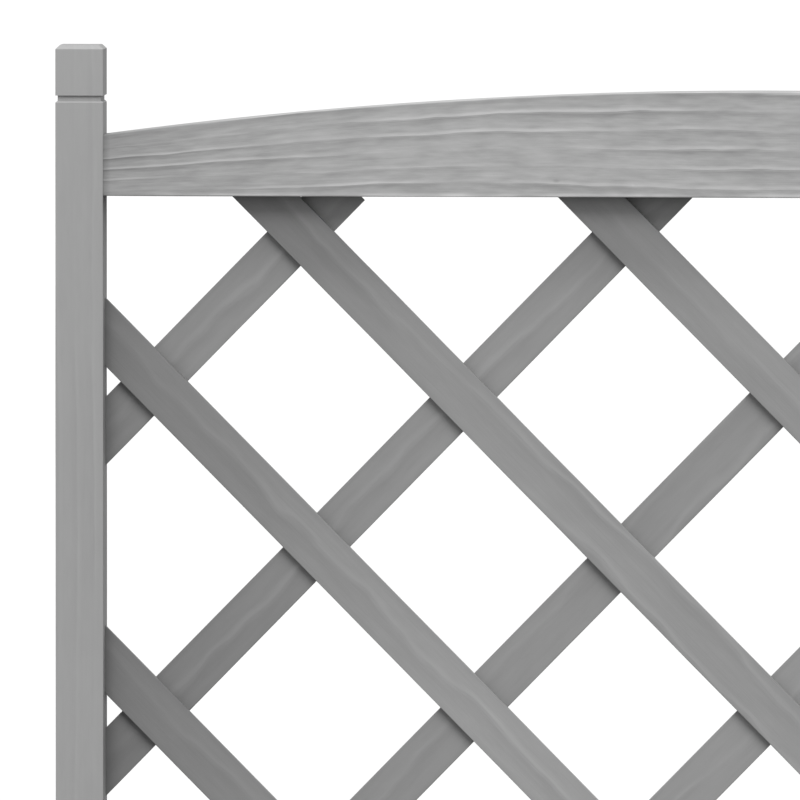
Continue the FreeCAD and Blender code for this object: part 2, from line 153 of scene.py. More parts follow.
# %% [markdown]
# ## Skins
# Each stick becomes one closed grid: rings of points, one ring for each station along it. The grid
# carries two things that a material can't work out for itself. The attribute `place` is where a
# point lies in the stick it was sawn from: along, across and through, in metres, so the grain runs
# along every stick however it leans. The second attribute says how strongly an edge is marked, which
# is wear on most pieces, a painted highlight on the upper rail and painted shade on the laths;
# whether the point lies on a sawn end; and how much stain and painted shade darken it.

# %% Build a closed skin from rings of points
SHARP = math.radians(40)
MERGE = 1e-7


def skin(name, slot, rings, place, finish_and_shade, replaced=(), flat_ends=False):
    """Each face joins four neighbours, and the last point of a ring meets its first. The rings
    may be of one piece, or of many equal copies. The sign of the volume that one copy's faces
    hold, a sum of a . (b x c), turns them outward."""
    rings = rings.reshape(-1, *rings.shape[-3:])
    copies, stations, around = rings.shape[:3]
    index = np.arange(stations * around).reshape(stations, around)
    after = np.roll(index, -1, axis=1)
    quads = np.stack([index[:-1], after[:-1], after[1:], index[1:]], -1).reshape(-1, 4)
    points = rings[0].reshape(-1, 3)
    a, b, c, d = (points[quads[:, n]] - points.mean(0) for n in range(4))
    inside_out = (a * (np.cross(b, c) + np.cross(c, d))).sum() < 0
    quads = (quads + np.arange(copies)[:, None, None] * stations * around).reshape(-1, 4)
    faces = quads.tolist()
    if flat_ends:
        faces += [index[0, ::-1].tolist(), index[-1].tolist()]
    if inside_out:
        faces = [face[::-1] for face in faces]

    mesh = bpy.data.meshes.new(name)
    mesh.from_pydata(rings.reshape(-1, 3), [], faces)
    for label, values in (("place", place), ("finish_and_shade", finish_and_shade)):
        values = np.broadcast_to(values, rings.shape).astype(np.float32)
        layer = mesh.attributes.new(label, "FLOAT_VECTOR", "POINT")
        layer.data.foreach_set("vector", values.ravel())
    return finished(name, slot, mesh, replaced)


def finished(name, slot, mesh, replaced):
    """Merge what coincides, smooth all but the sharp edges, and put the piece on the body."""
    cleaner = bmesh.new()
    cleaner.from_mesh(mesh)
    bmesh.ops.remove_doubles(cleaner, verts=cleaner.verts, dist=MERGE)
    bmesh.ops.dissolve_degenerate(cleaner, edges=cleaner.edges, dist=MERGE / 10)
    cleaner.to_mesh(mesh)
    cleaner.free()
    mesh.shade_smooth()
    mesh.set_sharp_from_angle(angle=SHARP)
    mesh.materials.append(MATERIALS[slot])
    made = bpy.data.objects.new(name, mesh)
    bpy.context.scene.collection.objects.link(made)
    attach(made, "root")
    if replaced:
        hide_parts(*replaced)
    return made


def marks(wear_and_light_mask, sawn, tone_and_shade, shape):
    """The edge mark, the sawn end, and the stain with painted shade: three shares, each spread over
    all the points.
    """
    return np.stack([np.broadcast_to(share, shape) for share in (wear_and_light_mask, sawn, tone_and_shade)], -1)


# %% [markdown]
# ## Node helpers
# Materials are easier to read when a node and its links are one line. These helpers add a node
# with its inputs, a math node, a smooth step, and a noise whose cells are stretched along the
# grain.

# %% Add nodes in one line each
def add(tree, kind, inputs=None, **settings):
    """A node of one kind; each input is a value, or another node's output to link."""
    node = tree.nodes.new(kind)
    for name, value in settings.items():
        setattr(node, name, value)
    for key, value in (inputs or {}).items():
        if isinstance(value, bpy.types.NodeSocket):
            tree.links.new(value, node.inputs[key])
        else:
            node.inputs[key].default_value = value
    return node


def calc(tree, operation, *values):
    node = add(tree, "ShaderNodeMath", dict(enumerate(values)), operation=operation)
    return node.outputs[0]


def summed(tree, *values):
    total = values[0]
    for value in values[1:]:
        total = calc(tree, "ADD", total, value)
    return total


def ramp(tree, value, low, high, out_low=0.0, out_high=1.0):
    """A smooth step from out_low to out_high as the value goes from low to high."""
    inputs = {"Value": value, "From Min": low, "From Max": high}
    inputs.update({"To Min": out_low, "To Max": out_high})
    node = add(tree, "ShaderNodeMapRange", inputs, interpolation_type="SMOOTHSTEP")
    return node.outputs["Result"]


def noise(tree, vector, scale, stretch=(1, 1, 1), detail=2.0, roughness=0.5):
    """Noise about 0 whose cells are 1/scale metres, divided by the stretch of each axis."""
    spread = add(tree, "ShaderNodeMapping", {"Vector": vector, "Scale": stretch})
    inputs = {"Vector": spread.outputs[0], "Scale": scale, "Detail": detail}
    inputs["Roughness"] = roughness
    return calc(tree, "SUBTRACT", add(tree, "ShaderNodeTexNoise", inputs).outputs["Fac"], 0.5)


def new_group(name, inputs, outputs):
    """A node group that takes Place and some numbers, with the two end nodes to link."""
    group = bpy.data.node_groups.new(name, "ShaderNodeTree")
    group.interface.new_socket("Place", in_out="INPUT", socket_type="NodeSocketVector")
    for label, value in inputs.items():
        socket = group.interface.new_socket(label, in_out="INPUT", socket_type="NodeSocketFloat")
        socket.default_value = value
    for label in outputs:
        group.interface.new_socket(label, in_out="OUTPUT", socket_type="NodeSocketFloat")
    start, end = group.nodes.new("NodeGroupInput"), group.nodes.new("NodeGroupOutput")
    return group, start.outputs, end.inputs


# %% [markdown]
# ## Growth lines
# Spring wood is pale and soft and summer wood is dark and hard, so a planed softwood board shows
# long wavering lines: a light ridge, a dark furrow just under it, and a slow fade back. The light
# ridge and the dark furrow are partly the wood's own tone and partly painted shading, the look of a
# raised grain lit from above. A wave texture would give the same line on both sides. A sawtooth is
# closer: the fraction of (across + wander) / spacing jumps once in each ring, with the light on one
# side of the jump and the dark on the other. Edge says over which share of a ring the jump is
# softened, and Reach over which share the light fades.

# %% The growth line group
RING_TILT = 0.35  # how fast the rings cross the stick's thickness
SLOW, QUICK = (12, (0.4, 1, 1), 1.0), (45, (0.55, 1, 1), 2.0)  # scale, stretch and detail
PATCHES = (24, (0.3, 1.6, 1), 1.0)
QUICK_SHARE = 0.38
FURROW = -0.6  # the dark side's depth, as a share of the light side's height


def growth_lines_group():
    settings = {"Spacing": 0.012, "Wander": 0.006, "Edge": 0.05, "Reach": 0.3, "Fade": 0.8}
    group, start, end = new_group("growth_lines", settings, ["Light", "Dark", "Height"])
    place, edge = start["Place"], start["Edge"]
    axes = add(group, "ShaderNodeSeparateXYZ", {"Vector": place}).outputs
    across = calc(group, "MULTIPLY_ADD", axes["Z"], RING_TILT, axes["Y"])
    slow = noise(group, place, *SLOW)
    quick = noise(group, place, *QUICK)
    wander = calc(group, "MULTIPLY_ADD", quick, QUICK_SHARE, slow)
    moved = calc(group, "MULTIPLY_ADD", wander, start["Wander"], across)
    ring = calc(group, "FRACT", calc(group, "DIVIDE", moved, start["Spacing"]))
    before = calc(group, "SUBTRACT", 1.0, edge)
    fall = ramp(group, ring, start["Reach"], edge)
    light = calc(group, "MULTIPLY", ramp(group, ring, 0.0, edge), fall)
    dark = calc(group, "MULTIPLY", ramp(group, ring, 0.5, before), ramp(group, ring, 1.0, before))
    patchy = noise(group, place, *PATCHES)
    faded = calc(group, "MULTIPLY", ramp(group, patchy, -0.12, 0.12), start["Fade"])
    strength = calc(group, "SUBTRACT", 1.0, faded)
    light, dark = (calc(group, "MULTIPLY", side, strength) for side in (light, dark))
    for label, value in (("Light", light), ("Dark", dark)):
        group.links.new(value, end[label])
    group.links.new(calc(group, "MULTIPLY_ADD", dark, FURROW, light), end["Height"])
    return group


# %% [markdown]
# ## Fibres, flecks and clouds
# Three smaller effects run through all the wood, each a noise stretched along the grain. Fibres
# are hair-fine streaks, flecks are short dashes and silky patches a few millimetres high, and
# clouds are the slow drift of the stain, where the wood drank more or less of it.

# %% The streak groups
def streaks_group(name, layers):
    """A sum of noises; each layer is (share, scale, stretch of the three axes)."""
    group, start, end = new_group(name, {}, ["Value"])
    parts = [
        calc(group, "MULTIPLY", noise(group, start["Place"], scale, stretch), share)
        for share, scale, stretch in layers
    ]
    group.links.new(summed(group, *parts), end["Value"])
    return group


FIBRES = [(1.0, 1400, (0.018, 1, 1)), (1.0, 420, (0.02, 1, 1))]
FLECKS = [(1.0, 330, (0.2, 1, 1)), (0.8, 100, (0.4, 1, 1))]
CLOUDS = [(1.0, 9, (0.6, 1.6, 1.6)), (0.6, 55, (0.3, 1, 1))]

# %% [markdown]
# ## Pin knots, sawn ends, edge wear and painted edge light
# Pin knots are a few dots with a halo, put where a random number of a Voronoi cell allows one. A
# sawn end shows the rings themselves, as arcs about a heart that lies outside the stick. The edge
# mark is broken by a noise, because handling never rubs an edge evenly; it is wear on most pieces, a
# painted highlight along the upper rail's lower edge, and painted shade along the laths' edges.

# %% The knot, end and edge groups
def pin_knots_group():
    group, start, end = new_group("pin_knots", {"Share": 0.2, "Scale": 30.0}, ["Core", "Halo"])
    spread = add(group, "ShaderNodeMapping", {"Vector": start["Place"], "Scale": (0.5, 1, 1)})
    inputs = {"Vector": spread.outputs[0], "Scale": start["Scale"]}
    cells = add(group, "ShaderNodeTexVoronoi", inputs).outputs
    chance = add(group, "ShaderNodeSeparateColor", {"Color": cells["Color"]}).outputs[0]
    there = calc(group, "LESS_THAN", chance, start["Share"])
    for label, near, far in (("Core", 0.01, 0.05), ("Halo", 0.04, 0.16)):
        dot = calc(group, "MULTIPLY", ramp(group, cells["Distance"], far, near), there)
        group.links.new(dot, end[label])
    return group


RING_WIDTH = 0.0024
HEART = (0, 0.013, 0.022)  # from the stick's middle, along, across and through


def sawn_end_group():
    """The fraction of distance from the heart over ring width, with fine pores."""
    group, start, end = new_group("sawn_end", {}, ["Ring", "Pores"])
    place = start["Place"]
    flat = add(group, "ShaderNodeMapping", {"Vector": place, "Location": HEART, "Scale": (0, 1, 1)})
    distance = add(group, "ShaderNodeVectorMath", {0: flat.outputs[0]}, operation="LENGTH")
    wobble = noise(group, place, 60, (0, 1, 1), 1.0)
    moved = calc(group, "MULTIPLY_ADD", wobble, 0.0025, distance.outputs["Value"])
    ring = calc(group, "FRACT", calc(group, "DIVIDE", moved, RING_WIDTH))
    group.links.new(ramp(group, ring, 0.35, 0.95), end["Ring"])
    group.links.new(noise(group, place, 2600, (0, 1, 1), 1.0), end["Pores"])
    return group


def edge_wear_and_light_group():
    group, start, end = new_group("edge_wear_and_light", {"Rubbed": 0.0}, ["Value"])
    broken = ramp(group, noise(group, start["Place"], 130, (0.3, 1, 1)), -0.12, 0.1, 0.55, 1.0)
    group.links.new(calc(group, "MULTIPLY", broken, start["Rubbed"]), end["Value"])
    return group


GROUPS = {
    "lines": growth_lines_group(),
    "fibres": streaks_group("fibres", FIBRES),
    "flecks": streaks_group("flecks", FLECKS),
    "clouds": streaks_group("clouds", CLOUDS),
    "knots": pin_knots_group(),
    "end": sawn_end_group(),
    "wear_and_light": edge_wear_and_light_group(),
}
print("shared groups:", ", ".join(group.name for group in GROUPS.values()))

# %% [markdown]
# ## Stained wood
# All the wood has the same grey stain, but not the same face: the rails show strong growth lines,
# the laths are darker with one soft streak, and the posts are almost plain. So one function makes
# every wood from the shared groups, with its own values. The tone is a product of small factors
# about 1, which keeps the average near the base tone.

# %% What every material starts and ends with
def new_material(name):
    material = bpy.data.materials.new(name)
    material.use_nodes = True
    return material, material.node_tree, material.node_tree.nodes["Principled BSDF"].inputs


def dress(tree, shader, value, rough, height, strength, distance):
    """Link a grey tone, a roughness and a bump to the shader's inputs."""
    colour = add(tree, "ShaderNodeCombineColor", {0: value, 1: value, 2: value})
    inputs = {"Height": height, "Strength": strength, "Distance": distance}
    bump = add(tree, "ShaderNodeBump", inputs)
    tree.links.new(colour.outputs[0], shader["Base Color"])
    tree.links.new(rough, shader["Roughness"])
    tree.links.new(bump.outputs[0], shader["Normal"])


# %% A wood material from the shared groups
# the growth lines' light ridge and dark furrow are partly grain tone and partly painted shading of a
# raised grain lit from above
LIGHT_LINE, DARK_LINE = 0.22, -0.16  # what each effect adds to a tone of 1
KNOT, KNOT_HALO, SPECK, SPECK_HALO = -0.3, -0.06, 0.16, 0.05
END_TONE, END_RING, END_PORES = 0.95, -0.17, 0.3
ROUGHNESS, BUMP_STRENGTH, BUMP_HEIGHT = 0.72, 0.6, 0.2 * MM


def wood(name, tone, spacing, wander, edge=0.05, reach=0.3, fade=0.8, lines=1.0, clouds=0.14,
         flecks=0.2, fibres=0.1, knots=0.1, wear_and_light=0.1, relief=1.0):
    """Base tone x stain and painted shade x (1 + light lines - dark lines + clouds + flecks + fibres
    + edge wear and painted edge light).
    """
    material, tree, shader = new_material(name)
    place = add(tree, "ShaderNodeAttribute", attribute_name="place").outputs["Vector"]
    finish_and_shade = add(tree, "ShaderNodeAttribute", attribute_name="finish_and_shade").outputs["Vector"]
    # the shares are edge wear with painted edge light, sawn end, and stain with painted shade
    wear_and_light_mask, sawn, tone_and_shade = add(tree, "ShaderNodeSeparateXYZ", {"Vector": finish_and_shade}).outputs

    def shared(key, **inputs):
        inputs["Place"] = place
        return add(tree, "ShaderNodeGroup", inputs, node_tree=GROUPS[key]).outputs

    def share(value, amount):
        return calc(tree, "MULTIPLY", value, amount)

    growth = shared("lines", Spacing=spacing, Wander=wander, Edge=edge, Reach=reach, Fade=fade)
    pin, speck = shared("knots", Share=knots), shared("knots", Share=knots, Scale=47.0)
    rings, wear_and_light_value = shared("end"), shared("wear_and_light", Rubbed=wear_and_light_mask)["Value"]
    fibre, fleck, cloud = (shared(key)["Value"] for key in ("fibres", "flecks", "clouds"))
    face = summed(
        tree, share(growth["Light"], LIGHT_LINE * lines), share(growth["Dark"], DARK_LINE * lines),
        share(cloud, clouds), share(fleck, flecks), share(fibre, fibres),
        share(pin["Core"], KNOT), share(pin["Halo"], KNOT_HALO),
        share(speck["Core"], SPECK), share(speck["Halo"], SPECK_HALO), 1.0,
    )
    cut = summed(tree, share(rings["Ring"], END_RING), share(rings["Pores"], END_PORES), END_TONE)
    mixed = add(tree, "ShaderNodeMix", {"Factor": sawn, "A": face, "B": cut}, data_type="FLOAT")
    # stain and painted shade darken the tone
    value = calc(tree, "MULTIPLY", mixed.outputs["Result"], share(tone_and_shade, tone))
    # edge wear, with a painted highlight on the upper rail and painted shade on the laths' edges
    value = calc(tree, "MULTIPLY", value, summed(tree, share(wear_and_light_value, wear_and_light), 1.0))
    rough = summed(tree, share(fibre, 0.25), share(cloud, 0.2), share(sawn, 0.12), ROUGHNESS)
    shader["Specular IOR Level"].default_value = 0.3
    height = summed(
        tree, share(growth["Height"], lines), share(fibre, 0.35), share(fleck, 0.5),
        share(pin["Core"], -0.4),
    )
    dress(tree, shader, value, rough, height, BUMP_STRENGTH, BUMP_HEIGHT * relief)
    return material


# %% [markdown]
# ## Zinc-plated steel
# The screws, brads and staples are bright zinc under a thin dull bloom. One noise drives the
# tone, the gloss and a trace of bump, since on the real metal all three come from the bloom.

# %% The fastener material
def plated_steel(name):
    material, tree, shader = new_material(name)
    bloom = noise(tree, add(tree, "ShaderNodeTexCoord").outputs["Object"], 700, detail=3.0)
    value = ramp(tree, bloom, -0.2, 0.2, 0.42, 0.62)
    rough = ramp(tree, bloom, -0.2, 0.2, 0.5, 0.32)
    shader["Metallic"].default_value = 1.0
    dress(tree, shader, value, rough, bloom, 0.3, 0.05 * MM)
    return material


# %% The materials, one for each slot of the record
LATH_RING = 22 * MM  # so wide that a lath shows one line
RAIL_RING = 10.8 * MM
MATERIALS = {
    "post_wood": wood("post_wood", 0.345, 0.010, 0.006, lines=0.2, clouds=0.1, flecks=0.06,
                      fibres=0.06, knots=0.03, wear_and_light=0.05),
    # the rail's edge share paints a highlight along the upper rail's eased lower edge
    "rail_wood": wood("rail_wood", 0.38, RAIL_RING, 0.010, edge=0.07, lines=1.15, clouds=0.22,
                      flecks=0.42, knots=0.3, wear_and_light=0.3),
    # the laths' negative edge share paints their eased edges darker: painted shade
    "slat_wood": wood("slat_wood", 0.288, LATH_RING, 0.03, edge=0.08, reach=0.26, fade=0.6,
                      lines=0.5, flecks=0.09, fibres=0.06, knots=0.02, wear_and_light=-0.1),
    "board_wood": wood("board_wood", 0.355, 0.012, 0.016, edge=0.06, lines=0.95, flecks=0.35,
                       knots=0.25, wear_and_light=0.12),
    "batten_wood": wood("batten_wood", 0.32, 0.009, 0.008, lines=0.6, flecks=0.4, fibres=0.22,
                        relief=1.6),
    "floor_wood": wood("floor_wood", 0.32, 0.014, 0.016, lines=0.7, clouds=0.18, flecks=0.4,
                       fibres=0.22, knots=0.2, relief=1.6),
    "screw_steel": plated_steel("screw_steel"),
}
print("materials:", ", ".join(MATERIALS))

# %% [markdown]
# ## Painted shade beside the joints
# The wood is painted about a quarter darker beside the posts and under the rail, a painted shade
# where those parts shade it, and it evens out some 150 mm further in. A falling exponential gives
# that for the rails, and a bell curve with a longer reach for the laths.

# %% Shares of painted shade by place
post_inner = node_box("rear_right_post")[0][0]
rail_low, rail_high = node_box("upper_rail")
lower_low, lower_high = node_box("lower_rail")


def rail_painted_shade(x):
    """Painted shade near the posts: 1 - 0.25 exp(-d / 60 mm), where d is the distance from the
    nearer post.
    """
    return 1 - 0.25 * np.exp(-(post_inner - np.abs(x)) / (60 * MM))


def lath_painted_shade(points):
    """Painted shade beside the posts, 1 - 0.33 exp(-(d / 125 mm)^2) - 0.1 exp(-d / 10 mm). By the
    rails a painted shade band that is darkest 26 mm away from them, 1 - 0.2 exp(-((h - 26 mm) / 26
    mm)^2), and paler right at the slot, + 0.2 exp(-h / 5 mm), a painted light that lifts the rail's
    cast shadow."""
    d = post_inner - np.abs(points[..., 0])
    h = np.minimum(rail_low[2] - points[..., 2], points[..., 2] - lower_high[2])
    beside = 1 - 0.33 * np.exp(-((d / (125 * MM)) ** 2)) - 0.1 * np.exp(-d / (10 * MM))
    band = 1 - 0.2 * np.exp(-(((h - 26 * MM) / (26 * MM)) ** 2))
    return beside * (band + 0.2 * np.exp(-np.clip(h, 0, None) / (5 * MM)))


# %% [markdown]
# ## Screw seats
# Three kinds of countersunk screw hold the planter together. Each seat is a place on a wooden
# face and the direction of the screw into the wood. The skins below get a cone sunk at each seat,
# and the screws are put into the same seats at the end.

# %% Where the screws sit
HEADS = {"rail_screws": 8.6 * MM, "batten_screws": 7.6 * MM, "bearer_screws": 6.8 * MM}
SLOT_DEPTH = 22 * MM
RAIL_END_HEIGHT = 34 * MM
BATTEN_MARGIN, BATTEN_STAGGER, BEARER_MARGIN = 40 * MM, 15 * MM, 60 * MM
outer_side = node_box("rear_right_post")[1][0]
trellis_middle = (rail_low[1] + rail_high[1]) / 2
rail_heights = (
    rail_low[2] + (SLOT_DEPTH + RAIL_END_HEIGHT) / 2,
    (lower_low[2] + lower_high[2] - SLOT_DEPTH) / 2,
)
rail_seats = [
    ((side * outer_side, trellis_middle, z), (-side, 0, 0)) for side in (-1, 1) for z in rail_heights
]

front_low, front_high = node_box("front_batten_b")
side_low, side_high = node_box("right_batten_a")
batten_x, batten_y = (front_low[0] + front_high[0]) / 2, (side_low[1] + side_high[1]) / 2
front_edge = min(abs(front_low[0]), abs(front_high[0]))
front_line = abs(front_low[1] + front_high[1]) / 2
side_edge = min(abs(side_low[1]), abs(side_high[1]))
side_line = abs(side_low[0] + side_high[0]) / 2
wall_top = lower_low[2]
batten_seats = []
for height in (front_low[2] + BATTEN_MARGIN, wall_top - BATTEN_MARGIN):
    for sx in (-1, 1):
        for sy in (-1, 1):
            batten_seats.append(((sx * front_edge, sy * front_line, height), (sx, 0, 0)))
            lower = height - BATTEN_STAGGER
            batten_seats.append(((sx * side_line, sy * side_edge, lower), (0, sy, 0)))

bearer_low, bearer_high = node_box("rear_bearer")
bearer_height = (bearer_low[2] + bearer_high[2]) / 2
bearer_seats = [
    ((x, sy * bearer_low[1], bearer_height), (0, sy, 0))
    for x in (-post_inner + BEARER_MARGIN, 0, post_inner - BEARER_MARGIN) for sy in (-1, 1)
]
SEATS = {"rail_screws": rail_seats, "batten_screws": batten_seats, "bearer_screws": bearer_seats}
print("screws:", {kind: len(seats) for kind, seats in SEATS.items()})

# %% [markdown]
# ## Countersinks
# A countersink is a 45 degree cone. The skin's points near a seat simply sink by how far they lie
# inside the cone's rim. That only looks round where the points are close together, so the
# stations of a stick are set closer near its screws.

# %% Sink the seats and close up the stations
RIM = 0.3 * MM  # how far a countersink reaches past the screw's head
CLOSE = 6 * MM  # stations are close together this far from a screw
CLOSE_STEP = 0.6 * MM
ARRIS = 0.3 * MM  # the first station from a sawn end, where the end grain stops


def sunk(points, kind, deepest=2.6 * MM):
    """P + direction x (rim radius - distance from the screw's axis), where that is positive and
    the point lies on the seat's own face."""
    for place, direction in SEATS[kind]:
        offset = points - np.array(place)
        depth = offset @ np.array(direction, float)
        from_axis = np.linalg.norm(offset - depth[..., None] * direction, axis=-1)
        sink = np.clip(HEADS[kind] / 2 + RIM - from_axis, 0, deepest)
        on_face = np.abs(depth) < 0.6 * MM
        points = points + (sink * on_face)[..., None] * direction
    return points


def stations(length, step, spots=()):
    """Distances from 0 to length at about one step, closer near the spots, and one arris."""
    even = np.linspace(0, length, max(2, round(length / step)) + 1)
    for spot in spots:
        even = even[np.abs(even - spot) >= CLOSE + CLOSE_STEP]
    close = [spot + np.arange(-CLOSE, CLOSE + CLOSE_STEP / 2, CLOSE_STEP) for spot in spots]
    inner = np.concatenate([even, *close])
    inner = inner[(inner > 2 * ARRIS) & (inner < length - 2 * ARRIS)]
    return np.unique(np.concatenate([[0, ARRIS], inner, [length - ARRIS, length]]).round(7))


# %% [markdown]
# ## Sticks
# Battens, bearers, floor slats and lattice laths are all plain sticks with a rectangular outline.
# Their corner points are carried from one end to the other, and each end is closed by drawing its
# last ring together onto the stick's middle plane. A lath that meets a post is cut upright, so
# each line of the skin has its own two ends.

# %% Carry an outline along a straight stick
EDGE_MARK_START, EDGE_MARK_REACH = 1.3, 1.2 * MM  # the edge mark is full at the edges, and nothing further in


def stick(name, slot, origin, axes, size, ends, rng, easing, s_even, uneven, steps,
          tone_and_shade=None, seats=None, ring=None):
    """P(w, t, f) = origin + s along + w across + t through, where s runs from start(w) to
    stop(w) as f goes from 0 to 1. size is the width and thickness."""
    along, across, through = axes
    outline = eased(rectangle(*size), easing, (steps[0], steps[1]) * 2)
    w, t = outline.T
    start, stop = ends(w)
    f = (s_even / s_even[-1])[:, None]
    s = start + (stop - start) * f
    normal = outward(outline)
    bump = unevenness(s, np.linspace(0, 2 * sum(size), len(w)), rng, uneven)
    w_of, t_of = w + normal[:, 0] * bump, t + normal[:, 1] * bump
    # at both ends one more ring: the same cut, with no thickness left
    s = np.concatenate([s[:1], s, s[-1:]])
    w_of = np.concatenate([w_of[:1], w_of, w_of[-1:]])
    t_of = np.concatenate([0 * t[None], t_of, 0 * t[None]])
    points = origin + s[..., None] * along + w_of[..., None] * across + t_of[..., None] * through
    if seats:
        points = sunk(points, seats)
    sawn = np.zeros(s.shape)
    sawn[[0, 1, -2, -1]] = 1
    to_sides = size[0] / 2 - np.abs(w_of) + size[1] / 2 - np.abs(t_of)
    # edge mark: wear on battens, bearers and floor slats, painted shade along the laths' eased edges
    wear_and_light_mask = np.clip(EDGE_MARK_START - to_sides / EDGE_MARK_REACH, 0, 1)
    place = np.stack([s, w_of, t_of], -1) + in_the_tree(rng, ring)
    # the stick's tone and painted shade, where it has them
    shade = tone_and_shade(points) if tone_and_shade else 1.0
    return skin(f"{name}_skin", slot, points, place, marks(wear_and_light_mask, sawn, shade, s.shape), [name])


AXIS = dict(zip("xyz", np.eye(3)))


def box_stick(name, slot, rng, along, across, uneven, steps=(4 * MM, 4 * MM), seats=None):
    """A stick that fills its node's box, square to the planter."""
    low, high = node_box(name)
    through = ({"x", "y", "z"} - {along, across}).pop()
    axes = [AXIS[along], AXIS[across], AXIS[through]]
    length, *size = (float((high - low) @ direction) for direction in axes)
    origin = (low + high) / 2 - axes[0] * length / 2
    places = [np.array(place) - origin for place, _ in SEATS.get(seats, [])]
    spots = sorted({round(float(place @ axes[0]), 6) for place in places})
    s = stations(length, 8 * MM, spots)
    ends = lambda w: (0 * w, 0 * w + length)
    return stick(name, slot, origin, axes, size, ends, rng, SAWN_EASING, s, uneven, steps,
                 seats=seats)


# %% [markdown]
# ## Lattice laths
# Eighteen laths lean two ways in two layers. Which way a lath leans can be read from its node:
# among the faces that look sideways, the largest is one of its long narrow sides, and that
# face's normal points straight across the lath. The ends that meet a post are cut upright.

# %% Find each lath's own directions
LATH_EASING = 0.4 * MM


def node_arrays(name):
    """The corner points, face normals and face areas of a node."""
    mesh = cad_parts[name].data
    points = np.empty(len(mesh.vertices) * 3, np.float32)
    normals = np.empty(len(mesh.polygons) * 3, np.float32)
    areas = np.empty(len(mesh.polygons), np.float32)
    mesh.vertices.foreach_get("co", points)
    mesh.polygons.foreach_get("normal", normals)
    mesh.polygons.foreach_get("area", areas)
    return points.reshape(-1, 3).astype(float), normals.reshape(-1, 3).astype(float), areas


def lath_frame(name):
    """The lath's origin, its directions, its width and thickness, and its reach along."""
    points, normals, areas = node_arrays(name)
    sideways = np.abs(normals[:, 1]) < 0.1
    across = normals[sideways][areas[sideways].argmax()] * (1, 0, 1)
    across *= np.sign(across[2]) / np.linalg.norm(across)
    along = np.array([across[2], 0, -across[0]])
    along *= np.sign(along[2])
    w, s, y = points @ across, points @ along, points[:, 1]
    origin = (w.min() + w.max()) / 2 * across + (y.min() + y.max()) / 2 * AXIS["y"]
    return origin, (along, across, AXIS["y"]), (np.ptp(w), np.ptp(y)), (s.min(), s.max())


LATHS = [name for name in sorted(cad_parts) if "_slat_" in name and "floor" not in name]
LATH_FRAMES = {name: lath_frame(name) for name in LATHS}
print("laths:", len(LATHS), "width and thickness:", LATH_FRAMES[LATHS[0]][2])

# %% [markdown]
# Shade is also painted where one lath crosses another. The back layer's laths get a narrow painted
# dark line along both edges of every front lath: the distance from a point to the nearest front
# lath's edge is known from that lath's own middle line.

# %% Make the laths
# painted shade on the back laths beside each front lath
CROSSING_SHADE, CROSSING_SHADE_REACH = 0.12, 3.5 * MM
LATH_TONES = (0.97, 1.03)
# no two laths took the stain alike; these shares are the ones seen in the photograph
TONES = {
    "rising_slat_1": 1.24, "rising_slat_2": 0.96, "rising_slat_3": 0.94, "falling_slat_5": 1.04,
}
FRONT_LATHS = [LATH_FRAMES[name] for name in LATHS if name.startswith("falling")]


def painted_crossing_shade(points):
    """Painted shade: 1 - depth x exp(-d / reach), d being the distance outside the nearest front
    lath.
    """
    d = np.full(points.shape[:-1], 1.0)
    for origin, (_, across, _), (width, _), _ in FRONT_LATHS:
        beside = np.abs((points - origin) @ across) - width / 2
        d = np.minimum(d, np.where(beside > -MM, np.abs(beside), 1.0))
    return 1 - CROSSING_SHADE * np.exp(-d / CROSSING_SHADE_REACH)


def lath(name, rng):
    origin, axes, size, (first, last) = LATH_FRAMES[name]
    behind = name.startswith("rising")
    tone = rng.uniform(*LATH_TONES) * TONES.get(name, 1)

    def ends(w):
        """The square saw cuts, or the upright post faces where those come first."""
        faces = (np.array([[-post_inner], [post_inner]]) - origin[0] - axes[1][0] * w) / axes[0][0]
        return np.maximum(first, faces.min(0)), np.minimum(last, faces.max(0))

    def tone_and_shade(points):
        # the lath's own tone, times painted shade beside the posts, by the rails and beside the
        # crossings
        return tone * lath_painted_shade(points) * (painted_crossing_shade(points) if behind else 1)

    s = stations(last - first, (3 if behind else 7) * MM)
    steps = (3 * MM, 2 * MM)
    return stick(name, "slat_wood", origin, axes, size, ends, rng, LATH_EASING, s, PLANED,
                 steps, tone_and_shade, ring=LATH_RING)


for number, name in enumerate(LATHS):
    lath(name, dice(100 + number))

# %% [markdown]
# ## Rails
# The upper rail is sawn to a shallow arc above and stays flat below, and a slot along its
# underside takes the ends of the laths. Its outline is a small arch on two legs, whose top rises
# and falls along the rail. The lower rail is the same outline turned over, and straight. The
# growth lines of the upper rail keep their share of its height, so they follow the arc above and
# run level below, with a slow swell: they lie low at the post and at the middle of the trellis.

# %% The rail's outline
RAIL_EASING = 0.75 * MM
SLOT_GAP = 0.3 * MM
RAIL_STEP = 1.6 * MM


def rail_outline(depth, height):
    """(across the rail, from its slotted side) with the slot, and which points line the slot."""
    near = node_box("falling_slat_1")[0][1] - SLOT_GAP - rail_low[1]
    far = node_box("rising_slat_1")[1][1] + SLOT_GAP - rail_low[1]
    corners = [
        (0, 0), (near, 0), (near, SLOT_DEPTH), (far, SLOT_DEPTH), (far, 0),
        (depth, 0), (depth, height), (0, height),
    ]
    outline = eased(corners, [RAIL_EASING, 0, 0, 0, 0] + [RAIL_EASING] * 3, RAIL_STEP)
    across, up = outline.T
    lining = (across > near - GUARD) & (across < far + GUARD) & (up < SLOT_DEPTH + GUARD)
    return outline, lining


